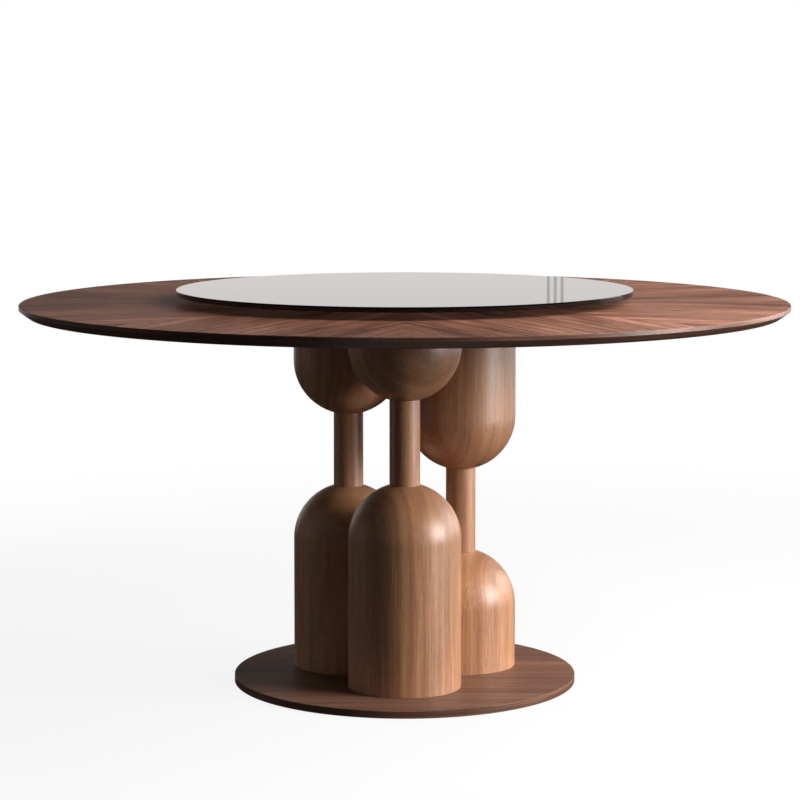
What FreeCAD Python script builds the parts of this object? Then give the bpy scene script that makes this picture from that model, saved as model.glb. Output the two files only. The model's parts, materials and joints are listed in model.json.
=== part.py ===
import FreeCAD, Part

# A round dining table with a lazy susan.
#
# Three turned wooden legs stand close together on a round, steel-weighted base and carry a round veneered
# top. Each leg is a lower turning with a domed head, a slim post and an upper turning with a domed foot,
# clamped on one tie rod. A black glass lazy susan turns on a ball race that is screwed to the top's middle.
#
# Frame: millimetres, +Z up, the origin on the floor under the middle of the table, -Y towards the front leg.
# Every sub-part is written to parts/NAME.step at its place in the table.

import math
import os

from FreeCAD import Vector

# ---------------------------------------------------------------- driving dimensions, in millimetres

# The top
TABLE_DIAMETER = 1500.0
TABLE_HEIGHT = 750.0  # floor to the face of the top
TOP_THICKNESS = 21.0
TOP_ARRIS_WIDTH = 1.0  # chamfer round the upper edge
EDGE_WALL_HEIGHT = 8.0  # upright part of the edge, chamfer included
EDGE_BEVEL_WIDTH = 18.0  # how far the bevel under the edge runs in
LIPPING_WIDTH = 50.0  # solid wood ring round the core
VENEER_THICKNESS = 0.6
LEAF_COUNT = 8  # wedge leaves of veneer, with a joint on the front axis

# The base
BASE_DIAMETER = 672.0
BASE_THICKNESS = 14.0
BASE_ARRIS_WIDTH = 1.0
EDGE_BAND_THICKNESS = 0.8
BALLAST_RIM_WIDTH = 16.0  # wood round the steel plate
BALLAST_THICKNESS = 6.0
BALLAST_CLEARANCE = 0.5  # round the plate, in its pocket
BALLAST_SCREW_COUNT = 8
BALLAST_SCREW_INSET = 16.0  # from the plate's rim to the screws
BALLAST_SCREW_DIAMETER = 4.0
BALLAST_SCREW_LENGTH = 11.0
BALLAST_SCREW_HEAD_DIAMETER = 7.5
GLIDE_COUNT = 8
GLIDE_DIAMETER = 40.0
GLIDE_PROUD_HEIGHT = 1.0  # below the base
GLIDE_RECESS_DEPTH = 2.0  # into the steel plate
GLIDE_CLEARANCE = 0.2  # round a glide, in its recess
GLIDE_INSET = 52.0  # from the plate's rim to the middle of a glide

# The legs: a drum is the straight part of a turning
LEG_DIAMETER = 218.0
LEG_GAP = 6.0  # between neighbouring turnings
POST_DIAMETER = 59.0
FRONT_LEG_ANGLE = -90.0  # round the table, from +X, in degrees
LEFT_LEG_ANGLE = 150.0
RIGHT_LEG_ANGLE = 30.0
FRONT_LOWER_DRUM_HEIGHT = 286.0
FRONT_UPPER_DRUM_HEIGHT = 48.0
LEFT_LOWER_DRUM_HEIGHT = 256.0
LEFT_UPPER_DRUM_HEIGHT = 96.0
RIGHT_LOWER_DRUM_HEIGHT = 124.0
RIGHT_UPPER_DRUM_HEIGHT = 207.0
TENON_DIAMETER = 40.0
TENON_LENGTH = 38.0
TENON_CLEARANCE = 0.1  # radial, the glue line
MORTISE_END_GAP = 2.0
LEG_SCREW_COUNT = 3  # at each end of each leg
LEG_SCREW_RADIUS = 62.0  # from the leg's axis
LEG_SCREW_DIAMETER = 6.0
LEG_SCREW_LENGTH = 50.0
LEG_SCREW_HEAD_DIAMETER = 11.0

# The tie rods
ROD_DIAMETER = 12.0
ROD_CLEARANCE = 0.5  # radial, in the bored wood and the plates
ROD_HEAD_DIAMETER = 23.0
ROD_SOCKET_WIDTH = 8.0  # across the flats
ROD_SOCKET_DEPTH = 3.8
ROD_WASHER_DIAMETER = 28.0
ROD_WASHER_THICKNESS = 2.5
ROD_NUT_ACROSS_FLATS = 19.0
ROD_NUT_HEIGHT = 6.0
ROD_END_LENGTH = 1.5  # past the nut
NUT_POCKET_CLEARANCE = 2.0

# The steel plate between the legs and the top
PLATE_THICKNESS = 5.0
PLATE_CHAMFER = 1.5
PLATE_BOLT_COUNT = 8
PLATE_BOLT_GAP = 4.0  # between a bolt's washer and the turnings
PLATE_BOLT_INSET = 17.0  # from the plate's rim to the bolts
INSERT_DIAMETER = 12.0
INSERT_LENGTH = 13.0
BOLT_DIAMETER = 8.0
BOLT_GRIP_LENGTH = 10.0  # thread inside the insert
BOLT_HEAD_DIAMETER = 14.0
BOLT_HEAD_HEIGHT = 4.4
BOLT_HEAD_FLAT_DIAMETER = 7.6  # the flat middle of the button head
BOLT_SOCKET_WIDTH = 5.0  # across the flats
BOLT_SOCKET_DEPTH = 2.6
BOLT_CLEARANCE = 0.5
WASHER_DIAMETER = 17.0
WASHER_THICKNESS = 1.6

# Threads
THREAD_CLEARANCE = 0.05  # radial, so that a screw and what it bites only touch

# The lazy susan
GLASS_DIAMETER = 894.0
GLASS_THICKNESS = 10.0
GLASS_ARRIS_WIDTH = 1.2
RACE_PITCH_DIAMETER = 380.0
BALL_DIAMETER = 6.0
BALL_COUNT = 24
BALL_CLEARANCE = 0.12  # ball to groove
CAGE_THICKNESS = 2.0
CAGE_CLEARANCE = 0.3  # cage to each ring
CAGE_WEB_WIDTH = 1.0  # nylon above and below a ball pocket
POCKET_CLEARANCE = 0.15
RING_WIDTH = 12.0
RING_HEIGHT = 11.0
RING_LIP_WIDTH = 13.0
RING_LIP_THICKNESS = 3.0
RING_FLOOR_GAP = 1.0  # turning ring above the top
FLANGE_GAP = 0.8  # turning ring's flange above the fixed ring
FLANGE_THICKNESS = 1.7
FLANGE_OVERHANG_WIDTH = 10.0  # flange beyond the race
PAD_COUNT = 8
PAD_DIAMETER = 16.0
PAD_THICKNESS = 1.5
LOCATING_RING_WIDTH = 12.0
LOCATING_RING_HEIGHT = 4.0
LOCATING_CLEARANCE = 0.5
RING_SCREW_DIAMETER = 4.0
RING_SCREW_LENGTH = 16.0
RING_SCREW_HEAD_DIAMETER = 7.5

# ---------------------------------------------------------------- sizes that follow from those

TABLE_RADIUS = TABLE_DIAMETER / 2
TOP_FACE = TABLE_HEIGHT
TOP_UNDERSIDE = TOP_FACE - TOP_THICKNESS
CORE_TOP = TOP_FACE - VENEER_THICKNESS
CORE_BOTTOM = TOP_UNDERSIDE + VENEER_THICKNESS
CORE_RADIUS = TABLE_RADIUS - LIPPING_WIDTH
WALL_FOOT = TOP_FACE - EDGE_WALL_HEIGHT
BEVEL_DROP = TOP_THICKNESS - EDGE_WALL_HEIGHT
LEAF_ANGLE = 360.0 / LEAF_COUNT

BASE_RADIUS = BASE_DIAMETER / 2
BASE_BOTTOM = GLIDE_PROUD_HEIGHT
BASE_TOP = BASE_BOTTOM + BASE_THICKNESS
BASE_CORE_TOP = BASE_TOP - VENEER_THICKNESS
BASE_CORE_RADIUS = BASE_RADIUS - EDGE_BAND_THICKNESS
BALLAST_RADIUS = BASE_RADIUS - BALLAST_RIM_WIDTH
BALLAST_TOP = BASE_BOTTOM + BALLAST_THICKNESS
GLIDE_TOP = BASE_BOTTOM + GLIDE_RECESS_DEPTH

LEG_RADIUS = LEG_DIAMETER / 2
POST_RADIUS = POST_DIAMETER / 2
LEG_CIRCLE = (LEG_DIAMETER + LEG_GAP) / 2 / math.cos(math.radians(30))
DOME_RISE = math.sqrt(LEG_RADIUS**2 - POST_RADIUS**2)  # dome centre to the flat that the post stands on
TENON_RADIUS = TENON_DIAMETER / 2
MORTISE_RADIUS = TENON_RADIUS + TENON_CLEARANCE
MORTISE_DEPTH = TENON_LENGTH + MORTISE_END_GAP

PLATE_BOTTOM = TOP_UNDERSIDE - PLATE_THICKNESS
PLATE_BOLT_CIRCLE = LEG_CIRCLE + LEG_RADIUS + PLATE_BOLT_GAP + WASHER_DIAMETER / 2
PLATE_RADIUS = PLATE_BOLT_CIRCLE + PLATE_BOLT_INSET
BOLT_HOLE = BOLT_DIAMETER / 2 + BOLT_CLEARANCE

ROD_RADIUS = ROD_DIAMETER / 2
ROD_BORE = ROD_RADIUS + ROD_CLEARANCE
ROD_TOP = TOP_UNDERSIDE + ROD_WASHER_THICKNESS + ROD_NUT_HEIGHT + ROD_END_LENGTH
NUT_POCKET_TOP = ROD_TOP + NUT_POCKET_CLEARANCE
NUT_POCKET_RADIUS = ROD_WASHER_DIAMETER / 2 + NUT_POCKET_CLEARANCE

RACE_RADIUS = RACE_PITCH_DIAMETER / 2
BALL_RADIUS = BALL_DIAMETER / 2
GROOVE_RADIUS = BALL_RADIUS + BALL_CLEARANCE
RACE_GAP = CAGE_THICKNESS / 2 + CAGE_CLEARANCE  # race circle to each ring's wall
BALL_HEIGHT = TOP_FACE + RING_HEIGHT / 2
FIXED_WALL = RACE_RADIUS + RACE_GAP
FIXED_RIM = FIXED_WALL + RING_WIDTH
LIP_RIM = FIXED_RIM + RING_LIP_WIDTH
TURNING_WALL = RACE_RADIUS - RACE_GAP
TURNING_BORE = TURNING_WALL - RING_WIDTH
RING_LIP_TOP = TOP_FACE + RING_LIP_THICKNESS
RING_TOP = TOP_FACE + RING_HEIGHT
FLANGE_BOTTOM = RING_TOP + FLANGE_GAP
FLANGE_TOP = FLANGE_BOTTOM + FLANGE_THICKNESS
FLANGE_RIM = RACE_RADIUS + FLANGE_OVERHANG_WIDTH
PAD_CIRCLE = (TURNING_BORE + FLANGE_RIM) / 2
GLASS_BOTTOM = FLANGE_TOP + PAD_THICKNESS
GLASS_TOP = GLASS_BOTTOM + GLASS_THICKNESS
GLASS_RADIUS = GLASS_DIAMETER / 2
LOCATING_RIM = TURNING_BORE - LOCATING_CLEARANCE
RING_SCREW_CIRCLE = (FIXED_RIM + LIP_RIM) / 2

# Each leg: its angle round the table, and the drums of its lower and upper turnings
LEGS = {
    "front": (FRONT_LEG_ANGLE, FRONT_LOWER_DRUM_HEIGHT, FRONT_UPPER_DRUM_HEIGHT),
    "left": (LEFT_LEG_ANGLE, LEFT_LOWER_DRUM_HEIGHT, LEFT_UPPER_DRUM_HEIGHT),
    "right": (RIGHT_LEG_ANGLE, RIGHT_LOWER_DRUM_HEIGHT, RIGHT_UPPER_DRUM_HEIGHT),
}
LEG_ANGLES = [angle for angle, _, _ in LEGS.values()]

# Countersunk wood screws: diameter, length, diameter of the head
LEG_SCREW = (LEG_SCREW_DIAMETER, LEG_SCREW_LENGTH, LEG_SCREW_HEAD_DIAMETER)
BALLAST_SCREW = (BALLAST_SCREW_DIAMETER, BALLAST_SCREW_LENGTH, BALLAST_SCREW_HEAD_DIAMETER)
RING_SCREW = (RING_SCREW_DIAMETER, RING_SCREW_LENGTH, RING_SCREW_HEAD_DIAMETER)

UP = Vector(0, 0, 1)
THROUGH = 1.0  # how far a cut runs past the face that it opens


# ---------------------------------------------------------------- helpers

def rod(radius, bottom, top, x=0.0, y=0.0):
    """A solid cylinder along Z."""
    return Part.makeCylinder(radius, top - bottom, Vector(x, y, bottom), UP)


def turned(profile, angle=360.0):
    """A solid of revolution about Z. The profile is a list of (radius, height) corners. A corner with a
    third entry starts an arc to the next corner, and that entry is a (radius, height) on the arc."""
    edges = []
    corners = [p[:2] for p in profile]
    for i, point in enumerate(profile):
        start = corners[i]
        end = corners[(i + 1) % len(corners)]
        a = Vector(start[0], 0, start[1])
        b = Vector(end[0], 0, end[1])
        if len(point) == 3:
            through = Vector(point[2][0], 0, point[2][1])
            edges.append(Part.Arc(a, through, b).toShape())
        else:
            edges.append(Part.makeLine(a, b))
    face = Part.Face(Part.Wire(edges))
    solid = face.revolve(Vector(0, 0, 0), UP, angle)
    if solid.Volume < 0:
        solid.reverse()
    return solid


def tube(inner, outer, bottom, top):
    """A plain ring about Z."""
    return turned([(inner, bottom), (outer, bottom), (outer, top), (inner, top)])


def moved(shape, x=0.0, y=0.0, z=0.0, turn=0.0):
    """A copy of a shape, turned about Z and then shifted."""
    copy = shape.copy()
    copy.Placement = FreeCAD.Placement(Vector(x, y, z), FreeCAD.Rotation(UP, turn)).multiply(copy.Placement)
    return copy


def circle_places(count, radius, first_angle=0.0):
    """(x, y, angle) of points evenly round a circle about the Z axis."""
    places = []
    for i in range(count):
        angle = first_angle + 360.0 * i / count
        a = math.radians(angle)
        places.append((radius * math.cos(a), radius * math.sin(a), angle))
    return places


def leg_axis(angle):
    """(x, y) of a leg's axis."""
    a = math.radians(angle)
    return LEG_CIRCLE * math.cos(a), LEG_CIRCLE * math.sin(a)


def leg_screw_places():
    """(x, y) of the screws at one end of every leg."""
    places = []
    for angle in LEG_ANGLES:
        x, y = leg_axis(angle)
        for dx, dy, _ in circle_places(LEG_SCREW_COUNT, LEG_SCREW_RADIUS, angle + 180.0):
            places.append((x + dx, y + dy))
    return places


def hexagon(across_flats, bottom, top):
    """A hexagonal prism on the Z axis."""
    corners = circle_places(6, across_flats / 2 / math.cos(math.radians(30)))
    points = [Vector(x, y, bottom) for x, y, _ in corners + corners[:1]]
    return Part.Face(Part.makePolygon(points)).extrude(Vector(0, 0, top - bottom))


def countersunk_screw(size, up=True):
    """A pointed wood screw on the Z axis with its head's face at Z 0, driven upwards or downwards."""
    diameter, length, head_diameter = size
    radius = diameter / 2
    head = head_diameter / 2
    cone = head - radius  # a 90 degree head is as deep as it tapers
    point = diameter
    screw = turned([(0, 0), (head, 0), (radius, cone), (radius, length - point), (0, length)])
    screw = screw.cut(hexagon(radius, -THROUGH, cone / 2))
    if not up:
        screw = screw.mirror(Vector(0, 0, 0), UP)
    return screw


def screw_seat(size, up=True):
    """What a countersunk screw takes out of the pieces that it passes through."""
    diameter, length, head_diameter = size
    radius = diameter / 2 + THREAD_CLEARANCE
    head = head_diameter / 2 + THREAD_CLEARANCE
    end = length + THREAD_CLEARANCE
    seat = turned([
        (0, -THROUGH),
        (head, -THROUGH),
        (head, 0),
        (radius, head - radius),
        (radius, end),
        (0, end),
    ])
    if not up:
        seat = seat.mirror(Vector(0, 0, 0), UP)
    return seat


def all_of(shapes):
    """Separate solids that share one node."""
    return Part.makeCompound(shapes)


def save(name, shape):
    """Writes one node. Each node is one or more closed solids."""
    bad = [s for s in shape.Solids if not s.isValid() or s.Volume <= 0]
    if bad or not shape.Solids:
        raise ValueError(f"{name} is not made of closed solids")
    shape.exportStep(f"parts/{name}.step")
    print(f"{name}: {len(shape.Solids)} solid(s), {sum(s.Volume for s in shape.Solids) / 1000.0:.1f} cm3")


# ---------------------------------------------------------------- the top

def bevel_radius(height):
    """Radius of the bevel under the edge at a height."""
    return TABLE_RADIUS - EDGE_BEVEL_WIDTH * (WALL_FOOT - height) / BEVEL_DROP


def ring_screw_cuts():
    """Seats of the lazy susan's screws, one in the middle of each leaf."""
    seat = screw_seat(RING_SCREW, up=False)
    return [moved(seat, x, y, RING_LIP_TOP) for x, y, _ in ring_screw_places()]


def ring_screw_places():
    return circle_places(LEAF_COUNT, RING_SCREW_CIRCLE, LEAF_ANGLE / 2)


def plate_bolt_places():
    return circle_places(PLATE_BOLT_COUNT, PLATE_BOLT_CIRCLE)


def insert_cuts():
    """Bores for the threaded inserts, from below the top."""
    radius = INSERT_DIAMETER / 2 + THREAD_CLEARANCE
    top = TOP_UNDERSIDE + INSERT_LENGTH + THREAD_CLEARANCE
    return [rod(radius, TOP_UNDERSIDE - THROUGH, top, x, y) for x, y, _ in plate_bolt_places()]


def nut_pockets():
    """Pockets round the tie rods' nuts, from below the top."""
    pocket = rod(NUT_POCKET_RADIUS, TOP_UNDERSIDE - THROUGH, NUT_POCKET_TOP)
    return [moved(pocket, *leg_axis(angle)) for angle in LEG_ANGLES]


def make_core():
    core = rod(CORE_RADIUS, CORE_BOTTOM, CORE_TOP)
    return core.cut(nut_pockets() + insert_cuts() + ring_screw_cuts())


def make_lipping():
    """The solid wood ring, with the upright wall and the bevel of the edge."""
    return turned([
        (CORE_RADIUS, CORE_BOTTOM),
        (bevel_radius(CORE_BOTTOM), CORE_BOTTOM),
        (TABLE_RADIUS, WALL_FOOT),
        (TABLE_RADIUS, TOP_FACE - TOP_ARRIS_WIDTH),
        (TABLE_RADIUS - (TOP_ARRIS_WIDTH - VENEER_THICKNESS), CORE_TOP),
        (CORE_RADIUS, CORE_TOP),
    ])


def make_leaves():
    """Wedge leaves of veneer that meet in the middle of the top."""
    rim = TABLE_RADIUS - TOP_ARRIS_WIDTH
    profile = [(0, CORE_TOP), (rim + VENEER_THICKNESS, CORE_TOP), (rim, TOP_FACE), (0, TOP_FACE)]
    leaf = turned(profile, LEAF_ANGLE)
    return all_of([moved(leaf, turn=i * LEAF_ANGLE).cut(seat) for i, seat in enumerate(ring_screw_cuts())])


def make_backer():
    """The balancing sheet under the top."""
    backer = turned([
        (0, TOP_UNDERSIDE),
        (bevel_radius(TOP_UNDERSIDE), TOP_UNDERSIDE),
        (bevel_radius(CORE_BOTTOM), CORE_BOTTOM),
        (0, CORE_BOTTOM),
    ])
    return backer.cut(nut_pockets() + insert_cuts())


def make_inserts():
    """Threaded sleeves for the plate's bolts."""
    thread = BOLT_DIAMETER / 2 + THREAD_CLEARANCE
    sleeve = tube(thread, INSERT_DIAMETER / 2, TOP_UNDERSIDE, TOP_UNDERSIDE + INSERT_LENGTH)
    return all_of([moved(sleeve, x, y) for x, y, _ in plate_bolt_places()])


# ---------------------------------------------------------------- the plate under the top

def leg_top_screw_cuts():
    """Seats of the screws that hold the plate on the legs."""
    seat = screw_seat(LEG_SCREW, up=False)
    return [moved(seat, x, y, TOP_UNDERSIDE) for x, y in leg_screw_places()]


def make_plate():
    plate = turned([
        (0, PLATE_BOTTOM),
        (PLATE_RADIUS - PLATE_CHAMFER, PLATE_BOTTOM),
        (PLATE_RADIUS, PLATE_BOTTOM + PLATE_CHAMFER),
        (PLATE_RADIUS, TOP_UNDERSIDE),
        (0, TOP_UNDERSIDE),
    ])
    low = PLATE_BOTTOM - THROUGH
    high = TOP_UNDERSIDE + THROUGH
    rod_holes = [rod(ROD_BORE, low, high, *leg_axis(angle)) for angle in LEG_ANGLES]
    bolt_holes = [rod(BOLT_HOLE, low, high, x, y) for x, y, _ in plate_bolt_places()]
    return plate.cut(rod_holes + bolt_holes + leg_top_screw_cuts())


def make_plate_bolts():
    """Button-head bolts, put in from below."""
    seat = PLATE_BOTTOM - WASHER_THICKNESS
    bottom = seat - BOLT_HEAD_HEIGHT
    end = TOP_UNDERSIDE + BOLT_GRIP_LENGTH
    shank = BOLT_DIAMETER / 2
    head = BOLT_HEAD_DIAMETER / 2
    flat = BOLT_HEAD_FLAT_DIAMETER / 2
    # the head bulges a fifth of its height past the straight line from its flat to its rim
    bulge = ((head + flat) / 2 + BOLT_HEAD_HEIGHT / 5, bottom + BOLT_HEAD_HEIGHT / 2 - BOLT_HEAD_HEIGHT / 5)
    bolt = turned([(0, bottom), (flat, bottom, bulge), (head, seat), (shank, seat), (shank, end), (0, end)])
    bolt = bolt.cut(hexagon(BOLT_SOCKET_WIDTH, bottom - THROUGH, bottom + BOLT_SOCKET_DEPTH))
    return all_of([moved(bolt, x, y) for x, y, _ in plate_bolt_places()])


def make_plate_washers():
    washer = tube(BOLT_HOLE, WASHER_DIAMETER / 2, PLATE_BOTTOM - WASHER_THICKNESS, PLATE_BOTTOM)
    return all_of([moved(washer, x, y) for x, y, _ in plate_bolt_places()])


# ---------------------------------------------------------------- the legs

def dome_bulge(centre, side):
    """The point half way along the dome's arc, which rises (side 1) or falls (side -1) from its centre."""
    half = math.asin(DOME_RISE / LEG_RADIUS) / 2
    return LEG_RADIUS * math.cos(half), centre + side * LEG_RADIUS * math.sin(half)


def make_lower_turning(drum):
    """Stands on the base: a drum with a domed head and a mortise for the post."""
    centre = BASE_TOP + drum
    flat = centre + DOME_RISE
    return turned([
        (ROD_BORE, BASE_TOP),
        (LEG_RADIUS, BASE_TOP),
        (LEG_RADIUS, centre, dome_bulge(centre, 1)),
        (POST_RADIUS, flat),
        (MORTISE_RADIUS, flat),
        (MORTISE_RADIUS, flat - MORTISE_DEPTH),
        (ROD_BORE, flat - MORTISE_DEPTH),
    ])


def make_upper_turning(drum):
    """Hangs under the plate: a drum with a domed foot and a mortise for the post."""
    centre = PLATE_BOTTOM - drum
    flat = centre - DOME_RISE
    return turned([
        (ROD_BORE, PLATE_BOTTOM),
        (ROD_BORE, flat + MORTISE_DEPTH),
        (MORTISE_RADIUS, flat + MORTISE_DEPTH),
        (MORTISE_RADIUS, flat),
        (POST_RADIUS, flat, dome_bulge(centre, -1)),
        (LEG_RADIUS, centre),
        (LEG_RADIUS, PLATE_BOTTOM),
    ])


def make_post(lower_drum, upper_drum):
    """A slim post with a tenon at each end, bored for the tie rod."""
    foot = BASE_TOP + lower_drum + DOME_RISE
    head = PLATE_BOTTOM - upper_drum - DOME_RISE
    return turned([
        (ROD_BORE, foot - TENON_LENGTH),
        (TENON_RADIUS, foot - TENON_LENGTH),
        (TENON_RADIUS, foot),
        (POST_RADIUS, foot),
        (POST_RADIUS, head),
        (TENON_RADIUS, head),
        (TENON_RADIUS, head + TENON_LENGTH),
        (ROD_BORE, head + TENON_LENGTH),
    ])


def foot_screw_cuts():
    """Seats of the screws that hold the legs on the base."""
    seat = screw_seat(LEG_SCREW)
    return [moved(seat, x, y, BASE_BOTTOM) for x, y in leg_screw_places()]


def make_leg_screws(up):
    """The screws at the feet (up) or the heads of all the legs."""
    screw = countersunk_screw(LEG_SCREW, up)
    face = BASE_BOTTOM if up else TOP_UNDERSIDE
    return all_of([moved(screw, x, y, face) for x, y in leg_screw_places()])


def make_tie_rods():
    """Long countersunk bolts from under the ballast plate to the nuts in the top."""
    head = ROD_HEAD_DIAMETER / 2
    neck = BASE_BOTTOM + head - ROD_RADIUS
    tie = turned([
        (0, BASE_BOTTOM),
        (head, BASE_BOTTOM),
        (ROD_RADIUS, neck),
        (ROD_RADIUS, ROD_TOP),
        (0, ROD_TOP),
    ])
    tie = tie.cut(hexagon(ROD_SOCKET_WIDTH, BASE_BOTTOM - THROUGH, BASE_BOTTOM + ROD_SOCKET_DEPTH))
    return all_of([moved(tie, *leg_axis(angle)) for angle in LEG_ANGLES])


def make_rod_washers():
    washer = tube(ROD_BORE, ROD_WASHER_DIAMETER / 2, TOP_UNDERSIDE, TOP_UNDERSIDE + ROD_WASHER_THICKNESS)
    return all_of([moved(washer, *leg_axis(angle)) for angle in LEG_ANGLES])


def make_rod_nuts():
    bottom = TOP_UNDERSIDE + ROD_WASHER_THICKNESS
    top = bottom + ROD_NUT_HEIGHT
    nut = hexagon(ROD_NUT_ACROSS_FLATS, bottom, top)
    nut = nut.cut(rod(ROD_RADIUS + THREAD_CLEARANCE, bottom - THROUGH, top + THROUGH))
    return all_of([moved(nut, *leg_axis(angle), turn=angle) for angle in LEG_ANGLES])


# ---------------------------------------------------------------- the base

def rod_head_seats():
    """Countersunk holes for the tie rods, through the whole base."""
    head = ROD_HEAD_DIAMETER / 2 + THREAD_CLEARANCE
    low = BASE_BOTTOM - THROUGH
    high = BASE_TOP + THROUGH
    neck = BASE_BOTTOM + head - ROD_BORE
    seat = turned([(0, low), (head, low), (head, BASE_BOTTOM), (ROD_BORE, neck), (ROD_BORE, high), (0, high)])
    return [moved(seat, *leg_axis(angle)) for angle in LEG_ANGLES]


def ballast_screw_places():
    """Between the glides, near the plate's rim."""
    half_step = 180.0 / BALLAST_SCREW_COUNT
    return circle_places(BALLAST_SCREW_COUNT, BALLAST_RADIUS - BALLAST_SCREW_INSET, half_step)


def ballast_screw_cuts():
    seat = screw_seat(BALLAST_SCREW)
    return [moved(seat, x, y, BASE_BOTTOM) for x, y, _ in ballast_screw_places()]


def glide_places():
    return circle_places(GLIDE_COUNT, BALLAST_RADIUS - GLIDE_INSET)


def make_base_disc():
    """The wooden disc, hollowed from below for the ballast plate."""
    disc = rod(BASE_CORE_RADIUS, BASE_BOTTOM, BASE_CORE_TOP)
    pocket = rod(BALLAST_RADIUS + BALLAST_CLEARANCE, BASE_BOTTOM - THROUGH, BALLAST_TOP)
    return disc.cut([pocket] + rod_head_seats() + foot_screw_cuts() + ballast_screw_cuts())


def make_base_veneer():
    rim = BASE_RADIUS - BASE_ARRIS_WIDTH
    face = turned([
        (0, BASE_CORE_TOP),
        (rim + VENEER_THICKNESS, BASE_CORE_TOP),
        (rim, BASE_TOP),
        (0, BASE_TOP),
    ])
    return face.cut(rod_head_seats() + foot_screw_cuts())


def make_base_edge():
    """The band round the rim of the base, under the face veneer."""
    return turned([
        (BASE_CORE_RADIUS, BASE_BOTTOM),
        (BASE_RADIUS, BASE_BOTTOM),
        (BASE_RADIUS, BASE_TOP - BASE_ARRIS_WIDTH),
        (BASE_RADIUS - (BASE_ARRIS_WIDTH - VENEER_THICKNESS), BASE_CORE_TOP),
        (BASE_CORE_RADIUS, BASE_CORE_TOP),
    ])


def make_ballast():
    """The steel plate that weights the base, with shallow recesses for the glides."""
    plate = rod(BALLAST_RADIUS, BASE_BOTTOM, BALLAST_TOP)
    recess = rod(GLIDE_DIAMETER / 2 + GLIDE_CLEARANCE, BASE_BOTTOM - THROUGH, GLIDE_TOP)
    recesses = [moved(recess, x, y) for x, y, _ in glide_places()]
    return plate.cut(recesses + rod_head_seats() + foot_screw_cuts() + ballast_screw_cuts())


def make_ballast_screws():
    screw = countersunk_screw(BALLAST_SCREW)
    return all_of([moved(screw, x, y, BASE_BOTTOM) for x, y, _ in ballast_screw_places()])


def make_glides():
    glide = rod(GLIDE_DIAMETER / 2, 0.0, GLIDE_TOP)
    return all_of([moved(glide, x, y) for x, y, _ in glide_places()])


# ---------------------------------------------------------------- the lazy susan

def race_groove():
    return Part.makeTorus(RACE_RADIUS, GROOVE_RADIUS, Vector(0, 0, BALL_HEIGHT), UP)


def make_fixed_ring():
    """The outer race, with a lip that is screwed to the top."""
    ring = turned([
        (FIXED_WALL, TOP_FACE),
        (LIP_RIM, TOP_FACE),
        (LIP_RIM, RING_LIP_TOP),
        (FIXED_RIM, RING_LIP_TOP),
        (FIXED_RIM, RING_TOP),
        (FIXED_WALL, RING_TOP),
    ])
    return ring.cut([race_groove()] + ring_screw_cuts())


def make_ring_screws():
    screw = countersunk_screw(RING_SCREW, up=False)
    return all_of([moved(screw, x, y, RING_LIP_TOP) for x, y, _ in ring_screw_places()])


def make_turning_ring():
    """The inner race, with a flange over the fixed ring that carries the glass."""
    foot = TOP_FACE + RING_FLOOR_GAP
    ring = turned([
        (TURNING_BORE, foot),
        (TURNING_WALL, foot),
        (TURNING_WALL, FLANGE_BOTTOM),
        (FLANGE_RIM, FLANGE_BOTTOM),
        (FLANGE_RIM, FLANGE_TOP),
        (TURNING_BORE, FLANGE_TOP),
    ])
    return ring.cut(race_groove())


def make_balls():
    ball = Part.makeSphere(BALL_RADIUS)
    return all_of([moved(ball, x, y, BALL_HEIGHT) for x, y, _ in circle_places(BALL_COUNT, RACE_RADIUS)])


def make_cage():
    """The nylon ring that keeps the balls apart."""
    pocket = BALL_RADIUS + POCKET_CLEARANCE
    half_height = pocket + CAGE_WEB_WIDTH
    inner = RACE_RADIUS - CAGE_THICKNESS / 2
    outer = RACE_RADIUS + CAGE_THICKNESS / 2
    cage = tube(inner, outer, BALL_HEIGHT - half_height, BALL_HEIGHT + half_height)
    pockets = [
        Part.makeCylinder(pocket, 2 * CAGE_THICKNESS, Vector(x, y, BALL_HEIGHT), Vector(x, y, 0))
        for x, y, _ in circle_places(BALL_COUNT, RACE_RADIUS - CAGE_THICKNESS)
    ]
    return cage.cut(pockets)


def make_pads():
    pad = rod(PAD_DIAMETER / 2, FLANGE_TOP, GLASS_BOTTOM)
    return all_of([moved(pad, x, y) for x, y, _ in circle_places(PAD_COUNT, PAD_CIRCLE)])


def make_locating_ring():
    """Bonded under the glass, it drops into the bore of the turning ring and keeps the glass central."""
    bore = LOCATING_RIM - LOCATING_RING_WIDTH
    return tube(bore, LOCATING_RIM, GLASS_BOTTOM - LOCATING_RING_HEIGHT, GLASS_BOTTOM)


def make_glass():
    rim = GLASS_RADIUS - GLASS_ARRIS_WIDTH
    return turned([
        (0, GLASS_BOTTOM),
        (rim, GLASS_BOTTOM),
        (GLASS_RADIUS, GLASS_BOTTOM + GLASS_ARRIS_WIDTH),
        (GLASS_RADIUS, GLASS_TOP - GLASS_ARRIS_WIDTH),
        (rim, GLASS_TOP),
        (0, GLASS_TOP),
    ])


# ---------------------------------------------------------------- the whole table

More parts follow.
